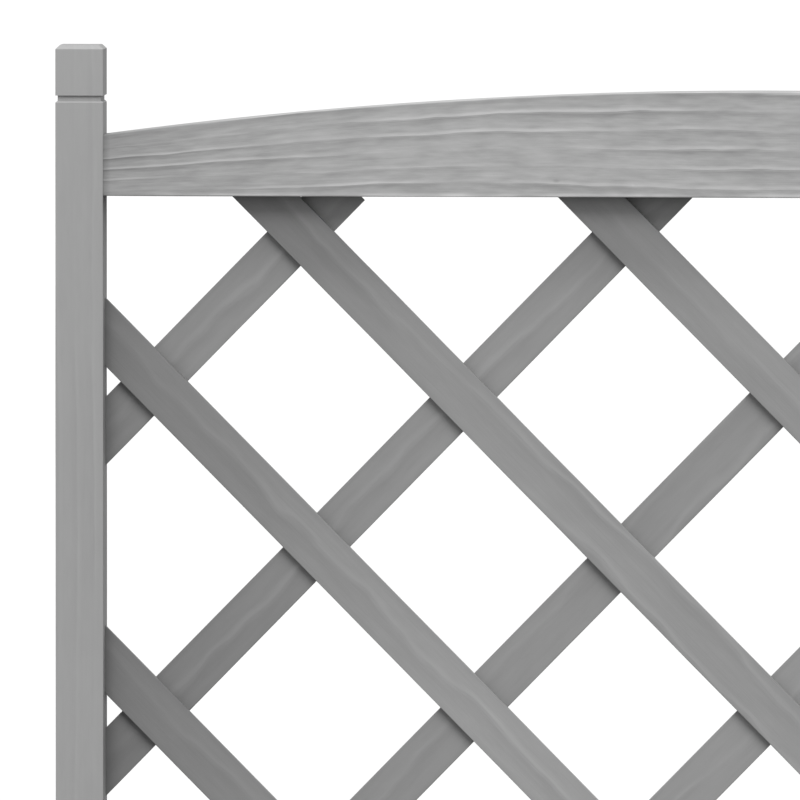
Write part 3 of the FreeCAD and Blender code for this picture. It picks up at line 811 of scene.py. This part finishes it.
# %% Make the rails
LINE_SHARE = 60 * MM  # the growth lines see the rail's height as this, everywhere along it
LINE_START = -6 * MM
SWELL, SWELL_LENGTH, SWELL_PEAK = 0.04, 0.39, -0.178
EDGE_HIGHLIGHT_LINE = 1.3 * MM  # height above the lower edge where a painted highlight runs along the eased edge
JOINT_LINE, JOINT_STAIN = 0.6 * MM, 0.3  # the dark joint at the post
FULLER = (0.45 * MM, 0.4 * MM)  # the arc was sawn this much fuller, all along and at its middle
TOP_EDGE_SHADE, TOP_FADE = 0.2, 1.8 * MM  # painted shade in a line just under the upper edge of the arched rail's front


def rail(name, end_height, slot_below, rng):
    """Outline carried along x; what lies above the slot is lifted by its share of the arc,
    z + share x (sqrt(R^2 - x^2) - (R - crown))."""
    low, high = node_box(name)
    outline, lining = rail_outline(high[1] - low[1], end_height)
    normal = outward(outline)
    x = (stations(high[0] - low[0], 4 * MM) + low[0])[:, None]
    bump = unevenness(x, np.arange(len(outline)) * RAIL_STEP, rng, PLANED) * ~lining
    y, z = outline[:, 0] + normal[:, 0] * bump, outline[:, 1] + normal[:, 1] * bump
    crown = high[2] - low[2] - end_height
    lift = 0 * x
    if crown > MM:
        radius = (high[0] ** 2 + crown**2) / (2 * crown)
        lift = FULLER[0] + (1 + FULLER[1] / crown) * (np.sqrt(radius**2 - x**2) - (radius - crown))
    share = (outline[:, 1] - SLOT_DEPTH) / (end_height - RAIL_EASING - SLOT_DEPTH)
    z = z + lift * np.clip(share, 0, 1)
    swell = SWELL * np.cos(2 * np.pi * (x - SWELL_PEAK) / SWELL_LENGTH) * (crown > MM)
    grain = (z / (end_height + lift) - swell) * LINE_SHARE + LINE_START
    place = np.stack([x + 0 * z, grain, y + 0 * z], -1)
    # painted highlight along the upper rail's eased lower edge
    wear_and_light_mask = np.clip(1.35 - np.abs(z - EDGE_HIGHLIGHT_LINE) / MM, 0, 1) * (y < MM) * slot_below
    joint = 1 - JOINT_STAIN * (high[0] - np.abs(x) < JOINT_LINE)
    # painted shade just under the upper edge of the arched rail's front
    below_top = end_height + lift - z
    run = np.exp(-below_top / TOP_FADE) * (below_top > 0.9 * RAIL_EASING) * (y < 0.2 * MM)
    run = 1 - TOP_EDGE_SHADE * run * (crown > MM)
    # painted shade near the posts and under the upper edge, and the dark joint
    finish_and_shade = marks(wear_and_light_mask, 0, rail_painted_shade(x) * joint * run, z.shape)
    up = low[2] + z if slot_below else high[2] - z
    points = np.stack([x + 0 * z, low[1] + y, up], -1)
    return skin(f"{name}_skin", "rail_wood", points, place, finish_and_shade, [name], flat_ends=True)


rail("upper_rail", RAIL_END_HEIGHT, True, dice(11))
rail("lower_rail", lower_high[2] - lower_low[2], False, dice(12))
print("rails: upper rises", round((rail_high[2] - rail_low[2]) / MM, 1), "mm at its middle")

# %% [markdown]
# ## Posts
# A post is a square with eased corners whose half width changes with height: a small bevel at
# the foot, a straight shaft, a narrow neck cut round it with a sloped lower lip, and a bevelled
# cap. The rear posts also have a countersink on their outer side for each rail screw.

# %% The half width of a post by its height
CAP_WIDE, CAP_HIGH, FOOT_BEVEL = 2.4 * MM, 2.35 * MM, 1.5 * MM
CAP_TRIM = 0.85 * MM  # the saw took this much more off the caps than the drawing says
NECK_DROP, NECK_HEIGHT, NECK_DEPTH, NECK_LIP = 29.2 * MM, 3.2 * MM, 1.2 * MM, 0.8 * MM
POST_EASING = 0.5 * MM
POST_STEP = 3 * MM


def post_profile(height, half, spots):
    """Pairs of (height, half width) from the foot to the cap."""
    neck_top = height - NECK_DROP
    neck_low = neck_top - NECK_HEIGHT
    top = height - CAP_TRIM
    shaft = stations(neck_low - 2 * NECK_LIP, 9 * MM, spots)
    shaft = shaft[shaft > 2 * FOOT_BEVEL]
    return np.array([
        (0, half - FOOT_BEVEL), (ARRIS, half - FOOT_BEVEL + ARRIS), (FOOT_BEVEL, half),
        (FOOT_BEVEL + GUARD, half), *[(z, half) for z in shaft],
        (neck_low - NECK_LIP, half), (neck_low, half - NECK_LIP), (neck_low, half - NECK_DEPTH),
        (neck_top, half - NECK_DEPTH), (neck_top, half), (neck_top + GUARD, half),
        (neck_top + NECK_DROP / 2, half), (top - CAP_HIGH - GUARD, half), (top - CAP_HIGH, half),
        (top - 0.1 * CAP_HIGH, half - 0.9 * CAP_WIDE), (top, half - CAP_WIDE),
    ]).T


# %% Make the posts
NECK_SHADE = 0.05  # how much darker the neck is painted: painted shade in its recess
SHAFT_DARKENING, SHAFT_REACH = 0.08, 120 * MM  # how much darker the post gets further down from the cap, and over what reach
UNDER_RAIL_SHADE, UNDER_REACH = 0.45, 14 * MM  # painted shade on the inner side, just under the rail, and its reach


def post(name, rng, spots=()):
    """(x, y) = middle + outline drawn in to the half width; the corners keep their size."""
    low, high = node_box(name)
    middle, half = (low + high)[:2] / 2, (high - low)[0] / 2
    z, width = post_profile(high[2], half, spots)
    side = np.sign(middle[0])
    steps = [POST_STEP, POST_STEP / 3 if spots and side > 0 else POST_STEP] * 2
    steps[3] = POST_STEP / 3 if spots and side < 0 else POST_STEP
    outline = eased(rectangle(2 * half, 2 * half), POST_EASING, steps)
    normal = outward(outline)
    core = np.clip(outline, POST_EASING - half, half - POST_EASING)
    ring = core * ((width - POST_EASING) / (half - POST_EASING))[:, None, None] + outline - core
    bump = unevenness(z[:, None], np.linspace(0, 8 * half, len(outline)), rng, 0.06 * MM)
    ring = ring + normal * bump[..., None]
    # both ends are drawn together in steps, so that their end grain is a fine grid too
    ring = np.concatenate([ring[:1] * 0, ring[:1] * 0.5, ring, ring[-1:] * 0.6, ring[-1:] * 0])
    z = np.concatenate([z[[0, 0]], z, z[[-1, -1]]])
    sawn = np.zeros((len(z), 1))
    sawn[[0, 1, 2, -3, -2, -1]] = 1
    height = np.broadcast_to(z[:, None], ring.shape[:2])
    points = np.concatenate([ring + middle, height[..., None]], -1)
    if spots:
        points = sunk(points, "rail_screws")
    place = np.concatenate([height[..., None], ring], -1) + in_the_tree(rng)
    # the post grows darker further down from the cap
    tone_and_shade = 1 - SHAFT_DARKENING * (1 - np.exp(-(high[2] - z) / SHAFT_REACH))[:, None]
    # painted shade in the neck's recess
    from_neck = high[2] - NECK_DROP - NECK_HEIGHT / 2 - z[:, None]
    tone_and_shade = tone_and_shade * (1 - NECK_SHADE * (np.abs(from_neck) < NECK_HEIGHT / 2 + GUARD / 2))
    # painted shade on the rear posts' inner side, just under the rail
    inner = (side * ring[..., 0] < -half + POST_EASING) & bool(spots)
    under = np.clip(rail_low[2] - height, 0, 1)
    tone_and_shade = tone_and_shade * (1 - UNDER_RAIL_SHADE * np.exp(-under / UNDER_REACH) * inner * (under > 0))
    finish_and_shade = marks((np.abs(normal).max(1) < 0.99) * 0.7, sawn, tone_and_shade, height.shape)
    return skin(f"{name}_skin", "post_wood", points, place, finish_and_shade, [name])


for number, name in enumerate(("front_left_post", "front_right_post")):
    post(name, dice(21 + number))
for number, name in enumerate(("rear_left_post", "rear_right_post")):
    post(name, dice(31 + number), rail_heights)

# %% [markdown]
# ## Wall boards
# Each wall is four boards with a tongue above and a groove below, bevelled outside so that every
# joint shows as a V. The outline is drawn once as (depth from the outer face, height), and the
# four walls differ only in where they stand and which way they face.

# %% The board's outline
BOARDS = 4
BOARD_COVER, BOARD_THICK, BOARD_BEVEL = 75 * MM, 10 * MM, 1.8 * MM
TONGUE_THICK, TONGUE_HEIGHT, TONGUE_GAP = 3.4 * MM, 4.5 * MM, 0.3 * MM
BOARD_EASING, TONGUE_EASING, BOARD_STEP = 0.5 * MM, 0.4 * MM, 3 * MM


def board_outline(level):
    """The lowest board has no groove and the highest no tongue."""
    near = (BOARD_THICK - TONGUE_THICK) / 2
    far = near + TONGUE_THICK
    corners = [(0, BOARD_BEVEL), (0, BOARD_COVER - BOARD_BEVEL), (BOARD_BEVEL, BOARD_COVER)]
    radii = [BOARD_EASING] * 3
    if level < BOARDS:
        peak = BOARD_COVER + TONGUE_HEIGHT
        corners += [(near, BOARD_COVER), (near, peak), (far, peak), (far, BOARD_COVER)]
        radii += [0, TONGUE_EASING, TONGUE_EASING, 0]
    corners += [(BOARD_THICK, BOARD_COVER), (BOARD_THICK, 0)]
    radii += [BOARD_EASING] * 2
    if level > 1:
        depth = TONGUE_HEIGHT + TONGUE_GAP
        low, high = near - TONGUE_GAP, far + TONGUE_GAP
        corners += [(high, 0), (high, depth), (low, depth), (low, 0)]
        radii += [0] * 4
    return eased(corners + [(BOARD_BEVEL, 0)], radii + [BOARD_EASING], BOARD_STEP)


# %% Make the wall boards
WALLS = {"front": (0, -1, 0), "right": (1, 0, 0), "back": (0, 1, 0), "left": (-1, 0, 0)}
BOARD_TONES = (0.93, 1.05)  # no two boards took the stain alike
BEVEL_STAIN = 0.35  # how much darker the stain lies on the lower side of each V


def board(wall, level, rng):
    """P = outer corner + s along - depth out + height up, with the wall's own directions."""
    name = f"{wall}_board_{level}"
    low, high = node_box(name)
    out = np.array(WALLS[wall], float)
    along = np.abs(np.cross(AXIS["z"], out))
    start = np.where(out > 0, high, low)
    outline = board_outline(level)
    normal = outward(outline)
    s = stations((high - low) @ along, 9 * MM)[:, None]
    bump = unevenness(s, np.arange(len(outline)) * BOARD_STEP, rng, 0.1 * MM)
    bump = bump * (np.abs(normal[:, 0]) > 0.9)
    depth, height = outline[:, 0] + normal[:, 0] * bump, outline[:, 1] + 0 * bump
    points = start + s[..., None] * along - depth[..., None] * out + height[..., None] * AXIS["z"]
    place = np.stack([s + 0 * depth, height, depth], -1) + in_the_tree(rng)
    to_edge = np.minimum(np.abs(height - BOARD_BEVEL), np.abs(BOARD_COVER - BOARD_BEVEL - height))
    wear_and_light_mask = np.clip(1.2 - to_edge / MM, 0, 1) * (depth < BOARD_BEVEL)
    on_bevel = (to_edge < BOARD_BEVEL) * (height > BOARD_COVER - BOARD_BEVEL + GUARD)
    tone_and_shade = rng.uniform(*BOARD_TONES) * (1 - BEVEL_STAIN * on_bevel)
    finish_and_shade = marks(wear_and_light_mask, 0, tone_and_shade, depth.shape)
    return skin(f"{name}_skin", "board_wood", points, place, finish_and_shade, [name], flat_ends=True)


for number, wall in enumerate(WALLS):
    for level in range(1, BOARDS + 1):
        board(wall, level, dice(40 + 10 * number + level))
print("boards:", len(WALLS) * BOARDS)

# %% [markdown]
# ## Battens, bearers and floor slats
# Inside the box the timber is sawn, not planed, so it gets more unevenness. The sides with screws
# have their points closer together. The two end slats of the floor are notched round the posts:
# their outer edge steps in near both ends.

# %% Make the inner timber
FINE = 0.8 * MM
FLOOR_SLATS = 7
for number, wall in enumerate(WALLS):
    for letter in "ab":
        across = "x" if wall in ("front", "back") else "y"
        rng = dice([80, number, ord(letter)])
        box_stick(f"{wall}_batten_{letter}", "batten_wood", rng, "z", across, SAWN,
                  (4 * MM, FINE), "batten_screws")
for number, name in enumerate(("front_bearer", "rear_bearer")):
    box_stick(name, "batten_wood", dice(90 + number), "x", "z", SAWN,
              (FINE, 4 * MM), "bearer_screws")
for number in range(2, FLOOR_SLATS):
    box_stick(f"floor_slat_{number}", "floor_wood", dice(190 + number), "y", "x",
              0.15 * MM, (6 * MM, 4 * MM))


# %% Make the notched floor slats
FLOOR_GAP = MM  # between a notch and its post


def notched_slat(name, side, rng):
    """x = inner edge + side x w, where w is drawn in by the notch near both ends."""
    low, high = node_box(name)
    width, thick = high[0] - low[0], high[2] - low[2]
    notch = max(abs(low[0]), abs(high[0])) - post_inner + FLOOR_GAP
    length = high[1] - low[1]
    body = np.linspace(notch, length - notch, round(length / (8 * MM)))
    s = np.concatenate([[0, ARRIS, notch], body, [length - notch, length - ARRIS, length]])[:, None]
    drawn = np.full(s.shape, notch)
    drawn[3:-3] = 0
    w, t = (eased(rectangle(width, thick), SAWN_EASING, 6 * MM) + (width / 2, thick / 2)).T
    bump = unevenness(s, np.linspace(0, 2 * (width + thick), len(w)), rng, SAWN)
    w = w * (1 - drawn / width)
    x = (low[0] + w) if side > 0 else (high[0] - w)
    inside = (t > MM) & (t < thick - MM)
    lift = bump * ~inside * np.sign(t - thick / 2)
    points = np.stack([x, low[1] + s + 0 * x, low[2] + t + lift], -1)
    sawn = np.zeros(s.shape)
    sawn[[0, -1]] = 1
    place = np.roll(points, -1, -1)[..., [0, 2, 1]] + in_the_tree(rng)
    finish_and_shade = marks(0, sawn, 1.0, x.shape)
    return skin(f"{name}_skin", "floor_wood", points, place, finish_and_shade, [name], flat_ends=True)


notched_slat("floor_slat_1", -1, dice(191))
notched_slat(f"floor_slat_{FLOOR_SLATS}", 1, dice(197))

# %% [markdown]
# ## Screws
# A countersunk wood screw is turned about its axis: a flat head, a cone, a smooth neck, a thread
# and a point. The profile is a radius for each depth, and the thread adds a ridge that climbs with
# the angle. The cross recess is a dent in the head: the depth of the deeper of two crossed bars.

# %% One screw as a function of turn and depth
WING_REACH, WING_WIDE, WALL_STEP = 0.34, 0.048, 0.018  # of the recess, as shares of the head
RECESS = 0.2  # its depth, as a share of the head too
THREAD_START = 0.36  # as a share of the screw's length
PITCH, THREAD = 1.9 * MM, 0.45 * MM
LENGTHS = {
    "rail_screws": (60 * MM, 4.5 * MM), "batten_screws": (38 * MM, 4 * MM),
    "bearer_screws": (26 * MM, 3.5 * MM),
}


def turns_round(radius, head):
    """The angles of each ring's points. Two of them in every eighth of a turn lie at the foot
    and the top of the recess's wall, angle = asin(distance from the wing's middle / radius)."""
    def at(distance):
        return np.arcsin(np.clip(distance * head / np.maximum(radius, MERGE), 0, 0.7))

    foot, top = at(WING_WIDE), at(WING_WIDE + WALL_STEP)
    rest = top + (np.pi / 4 - top) * np.array([0, 1, 2, 3]) / 3
    eighth = np.concatenate([0 * foot, foot, rest], 1)
    quarter = np.concatenate([eighth, np.pi / 2 - eighth[:, -2:0:-1]], 1)
    return np.concatenate([quarter + n * np.pi / 2 for n in range(4)], 1)


def screw_rings(head, length, shank):
    """Rings of (x, y, depth): head radii at depth 0, then r(depth) plus the thread's ridge
    max(0, 1 - |saw|), where saw = fraction of (depth / pitch - turn / 2 pi), from -3 to 3."""
    face = head / 2 * np.concatenate([np.linspace(0, 2 * WING_REACH, 10), [0.8, 0.95]])
    cone = (head - shank) / 2
    neck = np.linspace(cone, length * 0.35, 3)
    thread = np.arange(length * THREAD_START, length, PITCH / 6)
    depth = np.concatenate([0 * face, [0.08 * head / 2], neck, thread, [length]])[:, None]
    taper = np.clip((length - thread) / (1.6 * shank), 0.02, 1)
    core = shank / 2 * 0.72 * taper
    radius = np.concatenate([face, [head / 2], [shank / 2] * 3, core, [0]])[:, None]
    turn = turns_round(radius, head)
    saw = np.abs((depth / PITCH - turn / (2 * np.pi)) % 1 - 0.5) * 6
    threaded = (depth > length * THREAD_START) * (depth < length)
    radius = radius + np.clip(1 - saw, 0, 1) * THREAD * threaded
    x, y = radius * np.cos(turn), radius * np.sin(turn)

    def wing(along, across):
        """A bar that is deepest at the middle of the head and has steep walls."""
        deep = np.clip(1 - (along / (WING_REACH * head)) ** 2, 0, 1)
        wall = (WING_WIDE + WALL_STEP - np.abs(across) / head) / WALL_STEP
        return deep * np.clip(wall, 0, 1)

    recess = np.maximum(wing(x, y), wing(y, x)) * (depth == 0)
    return np.stack([x, y, depth + recess * head * RECESS], -1)


# %% Put the screws in their seats
HEAD_DEPTH = 0.3 * MM  # the heads sit this far below the wood


def turned_to(direction):
    """The rotation that takes +z to a direction, as rows of x, y and z."""
    side = np.array([0.0, 0.0, 1.0])
    return np.stack([side, np.cross(direction, side), direction])


def screws(kind):
    seats = SEATS[kind]
    rings = screw_rings(HEADS[kind], *LENGTHS[kind])
    rings = rings + (0, 0, HEAD_DEPTH)
    rng = dice(300)
    copies = []
    for place, direction in seats:
        a = rng.uniform(0, np.pi)
        spun = rings @ np.array([(np.cos(a), np.sin(a), 0), (-np.sin(a), np.cos(a), 0), (0, 0, 1)])
        copies.append(spun @ turned_to(np.array(direction, float)) + place)
    return skin(f"{kind}_turned", "screw_steel", np.array(copies), 0, 0, [kind])


for kind in SEATS:
    screws(kind)

# %% [markdown]
# ## Brads and staples
# Brads fix the boards to the battens from inside, two to a board at each batten, and a staple
# ties each crossing of the lattice from behind. Only their crowns show, so each is a few rings: a
# low dome for a brad, and a thin rounded bar for a staple.

# %% Make the brads
BRAD, BRAD_HEIGHT, BRAD_SPREAD = 1.1 * MM, 0.35 * MM, 18 * MM
BATTEN_END = 8 * MM


def dome(radius, height, around=8):
    """Rings from the wood up to the top of a low dome, (x, y, up)."""
    turn = np.linspace(0, 2 * np.pi, around, endpoint=False)[None]
    share = np.array([0.0, 1.0, 1.0, 0.75, 0.0])[:, None]
    up = np.array([-1.0, -1.0, 0.35, 0.85, 1.0])[:, None]
    ring = radius * share
    return np.stack([ring * np.cos(turn), ring * np.sin(turn), height * up + 0 * turn], -1)


brads = []
for wall, out in WALLS.items():
    out = np.array(out, float)
    for letter in "ab":
        low, high = node_box(f"{wall}_batten_{letter}")
        inner = np.where(out > 0, low, high) * np.abs(out) + (low + high) / 2 * (out == 0)
        for level in range(1, BOARDS + 1):
            board_low = node_box(f"{wall}_board_{level}")[0][2]
            for z in board_low + BOARD_COVER / 2 + np.array([-BRAD_SPREAD, BRAD_SPREAD]):
                if low[2] + BATTEN_END < z < high[2] - BATTEN_END:
                    brads.append(dome(BRAD, BRAD_HEIGHT) @ turned_to(-out) + (inner[0], inner[1], z))
skin("board_brads", "screw_steel", np.array(brads), 0, 0)
print("brads:", len(brads))

# %% Make the staples
CROWN, WIRE_WIDE, WIRE_HIGH = 6.5 * MM, 1.2 * MM, 0.55 * MM
CLEAR = 12 * MM  # no staple lies nearer to a rail or post than this


def crossings():
    """The points on the lattice's back where the middle lines of the two layers meet."""
    found = []
    back = node_box("rising_slat_1")[1][1]
    for rising in (LATH_FRAMES[name] for name in LATHS if name.startswith("rising")):
        for falling in FRONT_LATHS:
            rows = np.array([rising[1][1][[0, 2]], falling[1][1][[0, 2]]])
            offsets = [lath[0] @ lath[1][1] for lath in (rising, falling)]
            x, z = np.linalg.solve(rows, offsets)
            if abs(x) < post_inner - CLEAR and lower_high[2] + CLEAR < z < rail_low[2] - CLEAR:
                found.append((x, back, z))
    return np.array(found)


def staple_crown():
    """Rings along a thin bar whose two ends are rounded down, (along, across, up)."""
    share = np.array([-1, -1, -0.94, -0.8, 0.8, 0.94, 1, 1])[:, None]
    thick = np.array([0, 0.5, 0.85, 1, 1, 0.85, 0.5, 0])[:, None]
    turn = np.linspace(0, 2 * np.pi, 8, endpoint=False)[None]
    wide = WIRE_WIDE / 2 * np.cos(turn) * np.ceil(thick)
    high = WIRE_HIGH * np.sin(turn) * thick
    return np.stack([CROWN / 2 * share + 0 * turn, wide * (0.7 + 0.3 * thick), high], -1)


rng = dice(400)
staples = []
for x, y, z in crossings():
    a = np.pi / 2 + rng.normal(0, 0.12)
    x, z = x + rng.normal(0, 2 * MM), z + rng.normal(0, 2 * MM)
    rows = np.array([(np.cos(a), 0, np.sin(a)), (np.sin(a), 0, -np.cos(a)), (0, 1, 0)])
    staples.append(staple_crown() @ rows + (x, y + 0.1 * MM, z))
skin("lattice_staples", "screw_steel", np.array(staples), 0, 0)
print("staples:", len(staples))

# %% [markdown]
# ## Light and floor
# The photograph is a studio picture on pure white: soft light from above and a little from the
# front, with hardly any from below. The world is bright above the horizon and dim under it, but
# plain white to the camera, and one wide sun adds the soft shadows of the laths. The pale floor
# takes shadows but sends no light back, as if the planter stood in the open.

# %% Light the set
SKY, GROUND = 0.98, 0.25
LEFTWARD = 0.16  # how much brighter the left of the room is, and darker the right
scene = bpy.context.scene
scene.view_settings.view_transform = "Standard"
world = bpy.data.worlds.new("studio")
scene.world = world
world.use_nodes = True
tree = world.node_tree
tree.nodes.clear()
direction = add(tree, "ShaderNodeTexCoord").outputs["Generated"]
axes = add(tree, "ShaderNodeSeparateXYZ", {"Vector": direction}).outputs
strength = ramp(tree, axes["Z"], -0.1, 0.1, GROUND, SKY)
strength = calc(tree, "MULTIPLY", strength, calc(tree, "MULTIPLY_ADD", axes["X"], -LEFTWARD, 1.0))
ambient = add(tree, "ShaderNodeBackground", {"Color": (1, 1, 1, 1), "Strength": strength})
plain = add(tree, "ShaderNodeBackground", {"Color": (1, 1, 1, 1), "Strength": 1.0})
seen = add(tree, "ShaderNodeLightPath").outputs["Is Camera Ray"]
mix = add(tree, "ShaderNodeMixShader", {0: seen, 1: ambient.outputs[0], 2: plain.outputs[0]})
add(tree, "ShaderNodeOutputWorld", {"Surface": mix.outputs[0]})

KEY = Vector((-0.03, -0.39, 0.48))  # the key's share of the light on each face
key_data = bpy.data.lights.new("key", "SUN")
key_data.energy = math.pi * KEY.length
key_data.angle = math.radians(32)
key = bpy.data.objects.new("key", key_data)
key.rotation_euler = KEY.to_track_quat("Z", "Y").to_euler()
scene.collection.objects.link(key)

# %% Lay the floor
FLOOR_REACH, FLOOR_TONE = 60.0, 0.72
corners = [(x * FLOOR_REACH, y * FLOOR_REACH, 0) for x, y in ((-1, -1), (1, -1), (1, 1), (-1, 1))]
floor_mesh = bpy.data.meshes.new("studio_floor")
floor_mesh.from_pydata(corners, [], [(0, 1, 2, 3)])
floor = bpy.data.objects.new("studio_floor", floor_mesh)
scene.collection.objects.link(floor)
paper, _, paper_shader = new_material("floor_paper")
paper_shader["Base Color"].default_value = (FLOOR_TONE, FLOOR_TONE, FLOOR_TONE, 1)
paper_shader["Roughness"].default_value = 0.9
floor_mesh.materials.append(paper)
floor.visible_diffuse = False
floor.visible_glossy = False

# %% [markdown]
# ## Camera
# The camera stands 8 m in front with a very long lens, turned 3.4 degrees to the left of straight
# on and looking 3.1 degrees down, so that the tops and the inner sides of the posts just show.
# Those angles were found by fitting the post, the rail and the laths to the photograph.

# %% Place the camera
PICTURE = 800  # the photograph's width and height in its own points
FOCAL = 14277.0  # the lens's focal length in those points
YAW, PITCH_DOWN, ROLL = (math.radians(angle) for angle in (3.40, 3.074, 0.043))
AIM = np.array([-206.23, 153.0, 1200.68]) * MM
AWAY = 8.0

flat_look = np.array([-math.sin(YAW), math.cos(YAW), 0])
look = flat_look * math.cos(PITCH_DOWN) - AXIS["z"] * math.sin(PITCH_DOWN)
level = np.array([math.cos(YAW), math.sin(YAW), 0])
right = math.cos(ROLL) * level + math.sin(ROLL) * np.cross(level, look)
camera_data = bpy.data.cameras.new("camera")
camera_data.sensor_width = 36.0
camera_data.lens = FOCAL / PICTURE * camera_data.sensor_width
camera_data.clip_end = 200.0
camera = bpy.data.objects.new("camera", camera_data)
turned = np.eye(4)
turned[:3, :3] = np.stack([right, np.cross(right, look), -look], 1)
turned[:3, 3] = AIM - look * AWAY
camera.matrix_world = Matrix(turned.tolist())
scene.collection.objects.link(camera)
scene.camera = camera
print("lens:", round(camera_data.lens, 1), "mm")
